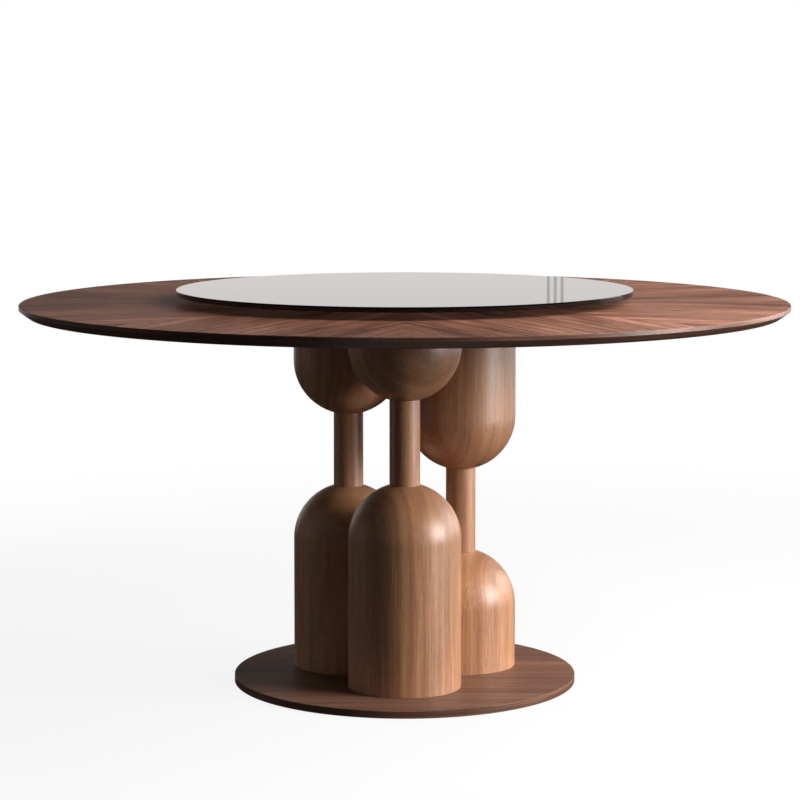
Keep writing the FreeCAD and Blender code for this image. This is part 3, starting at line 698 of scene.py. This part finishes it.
def start(name, primitive, **size):
    """Adds one primitive, names it, puts its place into its mesh and opens it for editing."""
    bpy.ops.object.select_all(action="DESELECT")
    primitive(**size)
    piece = bpy.context.object
    piece.name = name
    piece.data.name = name
    bpy.ops.object.transform_apply(location=True, rotation=True, scale=True)
    bpy.ops.object.mode_set(mode="EDIT")
    return piece


def start_cylinder(name, radius, low, high, axis=(0, 0), segments=RIM_SEGMENTS):
    """Starts a piece as an upright cylinder, from its radius and the heights of its two ends."""
    return start(
        name,
        bpy.ops.mesh.primitive_cylinder_add,
        vertices=segments,
        radius=radius,
        depth=high - low,
        location=(*axis, (low + high) / 2),
    )


def pick(kind, test):
    """Selects just the points, edges or faces that pass a test, and says how many they are.

    A face is tested by its middle and normal, an edge by its two ends, and a point by its place.
    """
    bpy.ops.mesh.select_mode(type=kind)
    bpy.ops.mesh.select_all(action="DESELECT")
    data = bpy.context.edit_object.data
    mesh = bmesh.from_edit_mesh(data)
    if kind == "FACE":
        chosen = [face for face in mesh.faces if test(face.calc_center_median(), face.normal)]
    elif kind == "EDGE":
        chosen = [edge for edge in mesh.edges if test(edge.verts[0].co, edge.verts[1].co)]
    else:
        chosen = [point for point in mesh.verts if test(point.co)]
    for item in chosen:
        item.select_set(True)
    bmesh.update_edit_mesh(data)
    return len(chosen)


def near(first, second):
    """True where two lengths are as good as the same."""
    return abs(first - second) < SAME_LENGTH


def level_edges(*heights):
    """Makes the test that picks the level edges at one or more heights."""
    return lambda first, second: near(first.z, second.z) and any(near(first.z, height) for height in heights)


def level_faces(*heights):
    """Makes the test that picks the level faces at one or more heights."""
    def is_level(middle, normal):
        return abs(normal.z) > LEVEL_FACE and any(near(middle.z, height) for height in heights)
    return is_level


def bore_ends(axis, *heights):
    """Makes the test that picks the round end faces of a bore: level ones whose middle lies on its axis."""
    is_level = level_faces(*heights)
    return lambda middle, normal: is_level(middle, normal) and (middle.xy - Vector(axis)).length < MM


def cut(point, direction, **sides):
    """Cuts the whole piece at a point, across a direction, and clears or fills the sides that are named."""
    bpy.ops.mesh.select_all(action="SELECT")
    bpy.ops.mesh.bisect(plane_co=point, plane_no=direction, **sides)


def soften(width, segments=3):
    """Rounds the picked edges by a width."""
    bpy.ops.mesh.bevel(offset=width, segments=segments, affect="EDGES")


def extrude(z):
    """Extrudes the picked faces or edges straight up, or down where z is negative."""
    bpy.ops.mesh.extrude_region_move(TRANSFORM_OT_translate={"value": (0, 0, z)})


def resize(share, centre):
    """Scales what is picked about a vertical axis, and leaves its height."""
    bpy.ops.transform.resize(value=(share, share, 1), center_override=centre)


print("round pieces have", RIM_SEGMENTS, "sides")

# %% [markdown]
# ## Closing and dressing a piece
#
# Closing a piece merges doubled points, turns the faces outwards and smooths the gentle angles. Its normals
# are then weighted by the size of the faces, so that a flat face beside a small bevel stays flat. Dressing it
# says what it is made of, which body it rides on and which part of the engineering model it stands for.

# %% Closing and dressing
SMOOTH_ANGLE = math.radians(30)
WELD = 0.001 * MM


def close(piece):
    """Welds doubled points, turns the faces outwards, leaves edit mode and smooths gentle angles."""
    bpy.ops.mesh.select_all(action="SELECT")
    bpy.ops.mesh.remove_doubles(threshold=WELD)
    bpy.ops.mesh.normals_make_consistent(inside=False)
    bpy.ops.object.mode_set(mode="OBJECT")
    bpy.ops.object.shade_smooth_by_angle(angle=SMOOTH_ANGLE)
    weigh = piece.modifiers.new("large_faces_stay_flat", "WEIGHTED_NORMAL")
    weigh.keep_sharp = True
    bpy.ops.object.modifier_apply(modifier=weigh.name)
    print(piece.name, "has", len(piece.data.polygons), "faces")


def lay_grain(piece, matrix):
    """Gives each point of a piece its grain coordinates: its place, turned and shifted by a matrix."""
    grain = piece.data.attributes.new("grain", "FLOAT_VECTOR", "POINT")
    for point, spot in zip(piece.data.vertices, grain.data):
        spot.vector = matrix @ point.co


def dress(piece, material, body, slot, *nodes):
    """Finishes a piece: its material, the body that it rides on and the nodes it stands for. Its slot is not
    used.
    """
    piece.data.materials.clear()
    piece.data.materials.append(material)
    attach(piece, body)
    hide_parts(*nodes)


print("weld distance", WELD / MM, "mm")

# %% [markdown]
# ## The veneer leaves of the top
#
# A sunburst top is laid from wedge leaves that are sliced from one log, one after another, and that meet in
# the middle. One wedge is modelled here: a thin disc, cut along its two seams, with its rim chamfered by
# scaling the rim's upper points inwards.

# %% Veneer leaf
LEAF_COUNT = 8

leaf_low, leaf_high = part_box("tabletop_veneer_leaves")
leaf_foot_radius = leaf_high.x
leaf_thickness = leaf_high.z - leaf_low.z
leaf_face_radius = leaf_foot_radius - leaf_thickness
half_wedge = math.pi / LEAF_COUNT

first_leaf = start_cylinder("top_veneer_leaf_1", leaf_foot_radius, leaf_low.z, leaf_high.z)
for side in (1, -1):
    across_seam = (-math.sin(half_wedge), side * math.cos(half_wedge), 0)
    cut((0, 0, leaf_high.z), across_seam, use_fill=True, clear_outer=True)
rim_points = pick("VERT", lambda place: near(place.z, leaf_high.z) and place.xy.length > leaf_face_radius / 2)
resize(leaf_face_radius / leaf_foot_radius, (0, 0, leaf_high.z))
close(first_leaf)
print("one leaf has", rim_points, "points on its rim")

# %% [markdown]
# ## Copies of the leaf
#
# The other leaves are copies, turned round the middle. Every second leaf is laid like a turned page, so that
# two leaves mirror each other at each joint: these copies get mirrored grain. Each leaf lies a slice deeper
# in the log, so the figure drifts a little from one to the next.

# %% Copies of the leaf
SLICE_DEPTH = 0.6 * MM  # how much deeper in the log each leaf lies


def copy_leaf(source, number):
    """Copies a leaf, turns it to its place round the middle and mirrors the grain of every second one."""
    leaf = source.copy()
    leaf.data = source.data.copy()
    leaf.name = f"top_veneer_leaf_{number + 1}"
    leaf.data.name = leaf.name
    bpy.context.collection.objects.link(leaf)
    flip = -1 if number % 2 else 1
    lay_grain(leaf, Matrix.Translation((0, 0, number * SLICE_DEPTH)) @ Matrix.Diagonal((1, flip, 1, 1)))
    leaf.data.transform(Matrix.Rotation((2 * number + 1) * half_wedge, 4, "Z"))
    return leaf


leaves = [copy_leaf(first_leaf, number) for number in range(1, LEAF_COUNT)]
lay_grain(first_leaf, Matrix.Identity(4))
first_leaf.data.transform(Matrix.Rotation(half_wedge, 4, "Z"))
for leaf in [first_leaf, *leaves]:
    dress(leaf, top_walnut, "table", "walnut_top_veneer", "tabletop_veneer_leaves")
print("leaves:", LEAF_COUNT)

# %% [markdown]
# ## The solid edge of the top
#
# Veneer would chip at the rim, so a ring of solid walnut takes the knocks. It stands 8 mm upright and then
# runs in under the top as a bevel, which makes the top look thin. It starts as a disc, gets two more rings
# of edges by bisecting, has its foot and head scaled in, and is opened in the middle by an inset on both
# faces and a bridge between them.

# %% Edge of the top
EDGE_WALL_HEIGHT = 8 * MM
ARRIS = 1 * MM  # the broken edge between the upright wall and the face
SOFTENING = 0.35 * MM

edge_low, edge_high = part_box("tabletop_lipping")
backer_low, backer_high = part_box("tabletop_backer")
core_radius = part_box("tabletop_core")[1].x
edge_head_radius = leaf_foot_radius
edge_foot_radius = backer_high.x
edge_wall_foot = leaf_high.z - EDGE_WALL_HEIGHT
arris_foot = leaf_high.z - ARRIS


def open_middle(low, high, low_radius, high_radius, bore):
    """Opens a disc in the middle: insets its two faces to one bore and bridges them."""
    pick("FACE", level_faces(high))
    bpy.ops.mesh.inset(thickness=high_radius - bore)
    pick("FACE", level_faces(low))
    bpy.ops.mesh.inset(thickness=low_radius - bore)
    pick("FACE", bore_ends((0, 0), low, high))
    bpy.ops.mesh.bridge_edge_loops()


top_edge = start_cylinder("top_solid_edge", TOP_RADIUS, edge_low.z, edge_high.z)
for height in (edge_wall_foot, arris_foot):
    cut((0, 0, height), (0, 0, 1))
pick("VERT", lambda place: near(place.z, edge_high.z))
resize(edge_head_radius / TOP_RADIUS, (0, 0, edge_high.z))
pick("VERT", lambda place: near(place.z, edge_low.z))
resize(edge_foot_radius / TOP_RADIUS, (0, 0, edge_low.z))
open_middle(edge_low.z, edge_high.z, edge_foot_radius, edge_head_radius, core_radius)
pick("EDGE", level_edges(edge_wall_foot, arris_foot))
soften(SOFTENING)
close(top_edge)
dress(top_edge, edge_walnut, "table", "walnut_lipping", "tabletop_lipping")

# %% [markdown]
# ## The backing veneer
#
# A veneered board bends unless both its faces are veneered, so the underside carries a plainer sheet of the
# same wood. Its rim follows the bevel of the edge.

# %% Backing veneer
backing = start_cylinder("top_backing_veneer", edge_foot_radius, backer_low.z, backer_high.z)
bevel_run = (TOP_RADIUS - edge_foot_radius) / (edge_wall_foot - edge_low.z)
backer_foot_radius = edge_foot_radius - bevel_run * (backer_high.z - backer_low.z)
pick("VERT", lambda place: near(place.z, backer_low.z))
resize(backer_foot_radius / edge_foot_radius, (0, 0, backer_low.z))
close(backing)
lay_grain(backing, Matrix.Identity(4))
dress(backing, backing_walnut, "table", "backing_veneer", "tabletop_backer")

# %% [markdown]
# ## The turned legs
#
# Each leg is three turnings: a lower and an upper block, and a slim post whose tenons stand in their sockets.
# A steel rod in a bore pulls them together. The outer sizes are measured on the engineering model, and those
# of the hidden joints are written down here.

# %% Sizes of the legs
LEG_SEGMENTS = 192
DOME_RINGS = 96
SOCKET_GAP = 0.1 * MM
SOCKET_DEPTH = 40 * MM
TENON_DIAMETER = 40 * MM
BORE_DIAMETER = 13 * MM
FOOT_SOFTENING = 0.8 * MM
LEG_ANGLES = {"front": -90, "left": 150, "right": 30}  # degrees from the right, as seen from above
LEG_NAMES = tuple(LEG_ANGLES)

block_low, block_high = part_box("front_leg_lower")
post_low, post_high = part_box("front_leg_post")
drum_radius = (block_high.x - block_low.x) / 2
post_radius = (post_high.x - post_low.x) / 2
dome_rise = math.sqrt(drum_radius ** 2 - post_radius ** 2)
socket_radius = TENON_DIAMETER / 2 + SOCKET_GAP
leg_circle = -(block_low.y + block_high.y) / 2


def leg_axis(name):
    """Where a leg's axis crosses the floor."""
    angle = math.radians(LEG_ANGLES[name])
    return leg_circle * math.cos(angle), leg_circle * math.sin(angle)


print("drum", round(drum_radius / MM, 2), "post", round(post_radius / MM, 2), "mm in radius")

# %% [markdown]
# ## The turned blocks
#
# The lower and the upper block are the same shape seen two ways: a drum that ends in a half sphere, cut flat
# where the slim post meets it. A lathe turns it from one blank, so a ball is the natural start here. Half of
# it is cut away, the post's seat is cut flat, and the open rim is drawn out into the drum. The socket and the
# bore come last, as on the bench.

# %% Turned blocks
def hollow_block(axis, seat, foot, up):
    """Sinks the socket for the post's tenon into the seat and drills the rod's bore through to the foot."""
    bore = BORE_DIAMETER / 2
    pick("FACE", level_faces(seat))
    bpy.ops.mesh.inset(thickness=post_radius - socket_radius)
    extrude(-up * SOCKET_DEPTH)
    bpy.ops.mesh.inset(thickness=socket_radius - bore)
    pick("FACE", level_faces(foot))
    bpy.ops.mesh.inset(thickness=drum_radius - FOOT_SOFTENING - bore)
    pick("FACE", bore_ends(axis, foot, seat - up * SOCKET_DEPTH))
    bpy.ops.mesh.bridge_edge_loops()


def turned_block(name, axis, seat, foot):
    """A drum that ends in a dome with a flat seat for the post, and is hollowed for tenon and rod.

    The dome points from the foot towards the seat, so the same steps make a block that stands on the base
    and one that hangs from the top.
    """
    up = 1 if seat > foot else -1
    centre = seat - up * dome_rise
    piece = start(
        name,
        bpy.ops.mesh.primitive_uv_sphere_add,
        segments=LEG_SEGMENTS,
        ring_count=DOME_RINGS,
        radius=drum_radius,
        location=(*axis, centre),
    )
    cut((*axis, centre), (0, 0, up), clear_inner=True)
    cut((*axis, seat), (0, 0, up), clear_outer=True, use_fill=True)
    pick("EDGE", level_edges(centre))
    extrude(foot - centre)
    bpy.ops.mesh.edge_face_add()
    pick("EDGE", level_edges(foot))
    soften(FOOT_SOFTENING)
    hollow_block(axis, seat, foot, up)
    close(piece)
    return piece


print("a dome rises", round(dome_rise / MM, 1), "mm over its drum")

# %% [markdown]
# ## The slim posts
#
# A post is a plain round stick with a tenon at each end, glued into the sockets of the two blocks. The
# tenons are inset from the post's ends and drawn out, and the rod's bore runs right through.

# %% Posts
POST_SEGMENTS = 128
JOINT_SOFTENING = 0.4 * MM


def turned_post(name, axis, low, high, tenon_low, tenon_high):
    """A round post with a tenon at each end and the rod's bore through it."""
    piece = start_cylinder(name, post_radius, low, high, axis, POST_SEGMENTS)
    pick("EDGE", level_edges(low, high))
    soften(JOINT_SOFTENING, segments=2)
    for end, tenon_end in ((low, tenon_low), (high, tenon_high)):
        pick("FACE", level_faces(end))
        bpy.ops.mesh.inset(thickness=post_radius - JOINT_SOFTENING - TENON_DIAMETER / 2)
        extrude(tenon_end - end)
        bpy.ops.mesh.inset(thickness=(TENON_DIAMETER - BORE_DIAMETER) / 2)
    pick("FACE", bore_ends(axis, tenon_low, tenon_high))
    bpy.ops.mesh.bridge_edge_loops()
    close(piece)
    return piece


print("a post has", POST_SEGMENTS, "sides")

# %% [markdown]
# ## Grain of the legs
#
# The blanks are sawn so that the wood runs along the leg, and each blank comes from another place in the
# stack. So the grain's first coordinate follows the leg's height, the whole block is turned about its axis
# by its own angle, and a shift along the tree keeps two blocks from showing the same figure.

# %% Assemble the legs
BLANK_SHIFT = 1.7  # metres along the tree from one blank to the next
BLANK_TURNS = {  # degrees about the axis, given for the front, left and right leg
    "lower": (20, 155, 260),
    "post": (75, 200, 310),
    "upper": (120, 245, 5),
}


def grain_of_blank(axis, turn, number):
    """Grain coordinates for an upright blank, from its axis, its turn and its number in the stack."""
    to_axis = Matrix.Translation((-axis[0], -axis[1], number * BLANK_SHIFT))
    turned = Matrix.Rotation(math.radians(turn), 4, "Z")
    upright = Matrix(((0, 0, 1, 0), (1, 0, 0, 0), (0, 1, 0, 0), (0, 0, 0, 1)))
    return upright @ turned @ to_axis


for order, name in enumerate(LEG_NAMES):
    axis = leg_axis(name)
    lower_low, lower_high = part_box(f"{name}_leg_lower")
    upper_low, upper_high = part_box(f"{name}_leg_upper")
    post_low, post_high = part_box(f"{name}_leg_post")
    pieces = {
        "lower": turned_block(f"{name}_leg_lower_block", axis, lower_high.z, lower_low.z),
        "post": turned_post(
            f"{name}_leg_slim_post",
            axis,
            low=lower_high.z,
            high=upper_low.z,
            tenon_low=post_low.z,
            tenon_high=post_high.z,
        ),
        "upper": turned_block(f"{name}_leg_upper_block", axis, upper_low.z, upper_high.z),
    }
    for place, (part, piece) in enumerate(pieces.items()):
        lay_grain(piece, grain_of_blank(axis, BLANK_TURNS[part][order], 3 * order + place))
        dress(piece, turned_walnut, "table", "walnut_turning", f"{name}_leg_{part}")
print("turnings:", 3 * len(LEG_NAMES))

# %% [markdown]
# ## The base
#
# The base is a board with a straight-grained sheet of veneer on its face. The sheet's edge is rounded by hand
# with a sanding block, through nearly all of its thickness.

# %% Face of the base
VENEER_ROUNDING = 0.95  # share of the veneer's thickness

veneer_low, veneer_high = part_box("base_veneer")
base_face = start_cylinder("base_face_veneer", veneer_high.x, veneer_low.z, veneer_high.z)
pick("EDGE", level_edges(veneer_high.z))
soften(VENEER_ROUNDING * (veneer_high.z - veneer_low.z))
close(base_face)
lay_grain(base_face, Matrix.Identity(4))
dress(base_face, base_walnut, "table", "walnut_base_veneer", "base_veneer")

# %% [markdown]
# ## The rim of the base
#
# A thin band of walnut hides the board's edge. Its own upper edge is broken at a slant, which leaves the
# narrow bright line that the light catches.

# %% Rim of the base
band_low, band_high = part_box("base_edge_band")
band_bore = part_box("base_disc")[1].x
band_wall_head = veneer_high.z - ARRIS

base_rim = start_cylinder("base_rim_band", BASE_RADIUS, band_low.z, band_high.z)
cut((0, 0, band_wall_head), (0, 0, 1))
pick("VERT", lambda place: near(place.z, band_high.z))
resize(veneer_high.x / BASE_RADIUS, (0, 0, band_high.z))
open_middle(band_low.z, band_high.z, BASE_RADIUS, veneer_high.x, band_bore)
pick("EDGE", level_edges(band_wall_head))
soften(SOFTENING)
close(base_rim)
dress(base_rim, band_walnut, "table", "walnut_base_veneer", "base_edge_band")

# %% [markdown]
# ## Black glass
#
# The turntable is a disc of black float glass with a ground and polished edge. Glass shows almost nothing
# of its own: what the eye reads is the mirror image of the room, stronger the flatter one looks, and black
# where the room is dark. Hands leave a breath of smears, so the roughness is not quite the same everywhere.
# A little of a strong light still gets through, so the wood in the glass's shadow is brown and not black.

# %% Glass finish
GLASS_PASSES = 0.4  # share of a lamp's light that gets through to the wood below
SMEARS_PER_METRE = 7.0
SMEAR_START = 0.45  # noise levels between which clean glass turns to smeared glass
SMEAR_FULL = 0.75
CLEAN_ROUGHNESS = 0.004
SMEARED_ROUGHNESS = 0.03


def black_glass():
    """Polished black float glass with faint smears."""
    material, tree, shader = new_material("black_float_glass_polished", IOR=1.5, Specular_IOR_Level=0.5)
    place = add(tree, "ShaderNodeTexCoord", output="Object")
    smears = add(tree, "ShaderNodeTexNoise", {
        "Vector": place,
        "Scale": SMEARS_PER_METRE,
        "Detail": 5.0,
        "Distortion": 1.5,
    })
    rough = add(tree, "ShaderNodeMapRange", {
        "Value": smears,
        "From Min": SMEAR_START,
        "From Max": SMEAR_FULL,
        "To Min": CLEAN_ROUGHNESS,
        "To Max": SMEARED_ROUGHNESS,
    })
    tree.links.new(rough, shader["Roughness"])
    depth = add(tree, "ShaderNodeMix", {
        "Factor_Float": smears,
        "A_Color": linear("050506"),
        "B_Color": linear("0a0a0b"),
    }, output=2, data_type="RGBA")
    tree.links.new(depth, shader["Base Color"])
    surface = tree.nodes["Principled BSDF"].outputs["BSDF"]
    through = add(tree, "ShaderNodeBsdfTransparent", {"Color": (GLASS_PASSES, GLASS_PASSES, GLASS_PASSES, 1)})
    shadow = add(tree, "ShaderNodeLightPath", output="Is Shadow Ray")
    whole = add(tree, "ShaderNodeMixShader", {"Fac": shadow, "Shader": surface, "Shader_001": through})
    tree.links.new(whole, tree.nodes["Material Output"].inputs["Surface"])
    return material


print("the glass lets through", GLASS_PASSES, "of a lamp's light")

# %% [markdown]
# ## The turntable
#
# The glass is a plain disc, and its two edges are ground round, so that they are kind to hands and sleeves.

# %% Turntable glass
GLASS_ARRIS = 1.2 * MM

glass_low, glass_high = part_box("susan_glass")
glass = start_cylinder("turntable_glass", glass_high.x, glass_low.z, glass_high.z)
pick("EDGE", level_edges(glass_low.z, glass_high.z))
soften(GLASS_ARRIS)
close(glass)
dress(glass, black_glass(), "susan", "black_glass", "susan_glass")

# %% [markdown]
# ## Hardware and inner parts
#
# The pieces that hold the table together already have their true shape, so they stay and only get a finish.
# One recipe serves them all: a faint even mottle, because no real surface has just one colour.

# %% Speckled finish
MOTTLE_RELIEF = 0.4  # strength of the relief, where a finish has one


def speckled(name, first, second, cell, rough, relief=0.0, **sockets):
    """A finish with a fine even mottle, from its two colours, a cell's size and its range of roughness."""
    material, tree, shader = new_material(name, **sockets)
    place = add(tree, "ShaderNodeTexCoord", output="Object")
    mottle = add(tree, "ShaderNodeTexNoise", {
        "Vector": place,
        "Scale": 1 / cell,
        "Detail": 4.0,
        "Roughness": 0.6,
    })
    even = add(tree, "ShaderNodeMapRange", {"Value": mottle, "From Min": NOISE_LOW, "From Max": NOISE_HIGH})
    colour = add(tree, "ShaderNodeMix", {
        "Factor_Float": even,
        "A_Color": linear(first),
        "B_Color": linear(second),
    }, output=2, data_type="RGBA")
    tree.links.new(colour, shader["Base Color"])
    satin = add(tree, "ShaderNodeMapRange", {"Value": even, "To Min": rough[0], "To Max": rough[1]})
    tree.links.new(satin, shader["Roughness"])
    if relief:
        bump = add(tree, "ShaderNodeBump", {"Height": even, "Strength": MOTTLE_RELIEF, "Distance": relief})
        tree.links.new(bump, shader["Normal"])
    return material


def finish_nodes(material, *names):
    """Gives nodes of the engineering model a material, in the slots that they already have."""
    for name in names:
        for place in frame["nodes"][name].material_slots:
            place.material = material


print("relief strength of a mottle:", MOTTLE_RELIEF)

# %% [markdown]
# ## Metals, plastics and boards
#
# Bare metals mirror the room and differ in how much they blur it, while plastics and boards show a colour of
# their own. The grain of such skins is really finer: it is drawn about 1 to 6 mm wide, so that it shows.

# %% Hardware finishes
# Bright zinc plating is a light grey metal with a soft shine.
zinc = speckled("bright_zinc_plated_steel", "b4b6b0", "c9cac2", 4 * MM, (0.28, 0.42), Metallic=1.0)
# Powder coat is a dull black plastic skin, slightly bumpy like an orange.
powder = speckled("black_powder_coated_steel", "151516", "222223", 0.8 * MM, (0.45, 0.6), 0.1 * MM)
# Black oxide is dark steel with a dim, oily gleam.
oxide = speckled("black_oxide_steel", "1a1b1d", "2b2c2e", 2 * MM, (0.35, 0.5), Metallic=0.7)
# Turned aluminium under a clear anodised skin is pale and silky.
aluminium = speckled(
    "clear_anodised_turned_aluminium", "b9bcbe", "c8cacc", 1.5 * MM, (0.28, 0.38), Metallic=1.0,
)
# Ground and polished balls are nearly a mirror.
chrome = speckled("polished_chrome_bearing_steel", "c2c6ca", "d4d7da", 3 * MM, (0.06, 0.12), Metallic=1.0)
# Moulded nylon is creamy and a little waxy, or dyed black for the glides.
nylon = speckled("moulded_natural_nylon", "e3dccb", "efe9da", 1.2 * MM, (0.4, 0.5), 0.05 * MM)
black_nylon = speckled("moulded_black_nylon", "1f1f20", "2c2c2d", 1.2 * MM, (0.45, 0.6), 0.05 * MM)
# Silicone is a milky rubber that lets some light in.
silicone = speckled(
    "clear_silicone_pad", "cfd3d2", "dfe2e1", 2 * MM, (0.4, 0.5), Transmission_Weight=0.4, IOR=1.41,
)
# Cast acrylic is as clear and smooth as glass.
acrylic = speckled(
    "clear_cast_acrylic_ring", "eef4f3", "f6fafa", 6 * MM, (0.03, 0.08), Transmission_Weight=1.0, IOR=1.49,
)
# Sawn particle board shows its pressed chips, and fibre board is finer and more even: both are quite dull.
core_board = speckled("sawn_particle_board", "a8855c", "c7a67b", 2.5 * MM, (0.7, 0.85), 0.2 * MM)
base_board = speckled("fibre_board", "9c7c5a", "b08e69", 1.0 * MM, (0.7, 0.85), 0.1 * MM)
finish_nodes(zinc, "tabletop_inserts", "tie_rods", "tie_rod_washers", "tie_rod_nuts", "leg_foot_screws")
finish_nodes(zinc, "leg_top_screws", "ballast_screws", "susan_ring_screws")
finish_nodes(powder, "mounting_plate", "base_ballast_plate")
finish_nodes(oxide, "mounting_bolts", "mounting_washers")
finish_nodes(aluminium, "susan_fixed_ring", "susan_turning_ring")
finish_nodes(chrome, "susan_balls")
finish_nodes(nylon, "susan_ball_cage")
finish_nodes(black_nylon, "floor_glides")
finish_nodes(silicone, "susan_pads")
finish_nodes(acrylic, "susan_locating_ring")
finish_nodes(core_board, "tabletop_core")
finish_nodes(base_board, "base_disc")
print("inner boards:", core_board.name, base_board.name)

# %% [markdown]
# ## Keep the highlight lamp off the top
#
# The low highlight lamp would mirror itself in the glass and glare on the top for whoever looks from the
# left. A photographer holds a black card between such a lamp and the table top. Light linking does the same:
# the lamp gets a list of the pieces that it may light, which are the wood below the top and its edge.

# %% Pieces that the highlight lamp lights
lit_pieces = bpy.data.collections.new("lit_by_highlight_lamp")
for name in LEG_NAMES:
    for part in ("lower_block", "slim_post", "upper_block"):
        lit_pieces.objects.link(bpy.data.objects[f"{name}_leg_{part}"])
for piece in (base_face, base_rim, top_edge):
    lit_pieces.objects.link(piece)
highlight.light_linking.receiver_collection = lit_pieces

# %% [markdown]
# ## Compare the size
#
# The dressed table has to fill the same box as the engineering model, so the gap between the two boxes is
# printed in millimetres, for the low and the high corner.

# %% Size
visual_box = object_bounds()
growth = [max(abs(a - b) for a, b in zip(*corners)) for corners in zip(cad_box, visual_box)]
print("growth in mm:", [round(length / MM, 2) for length in growth])
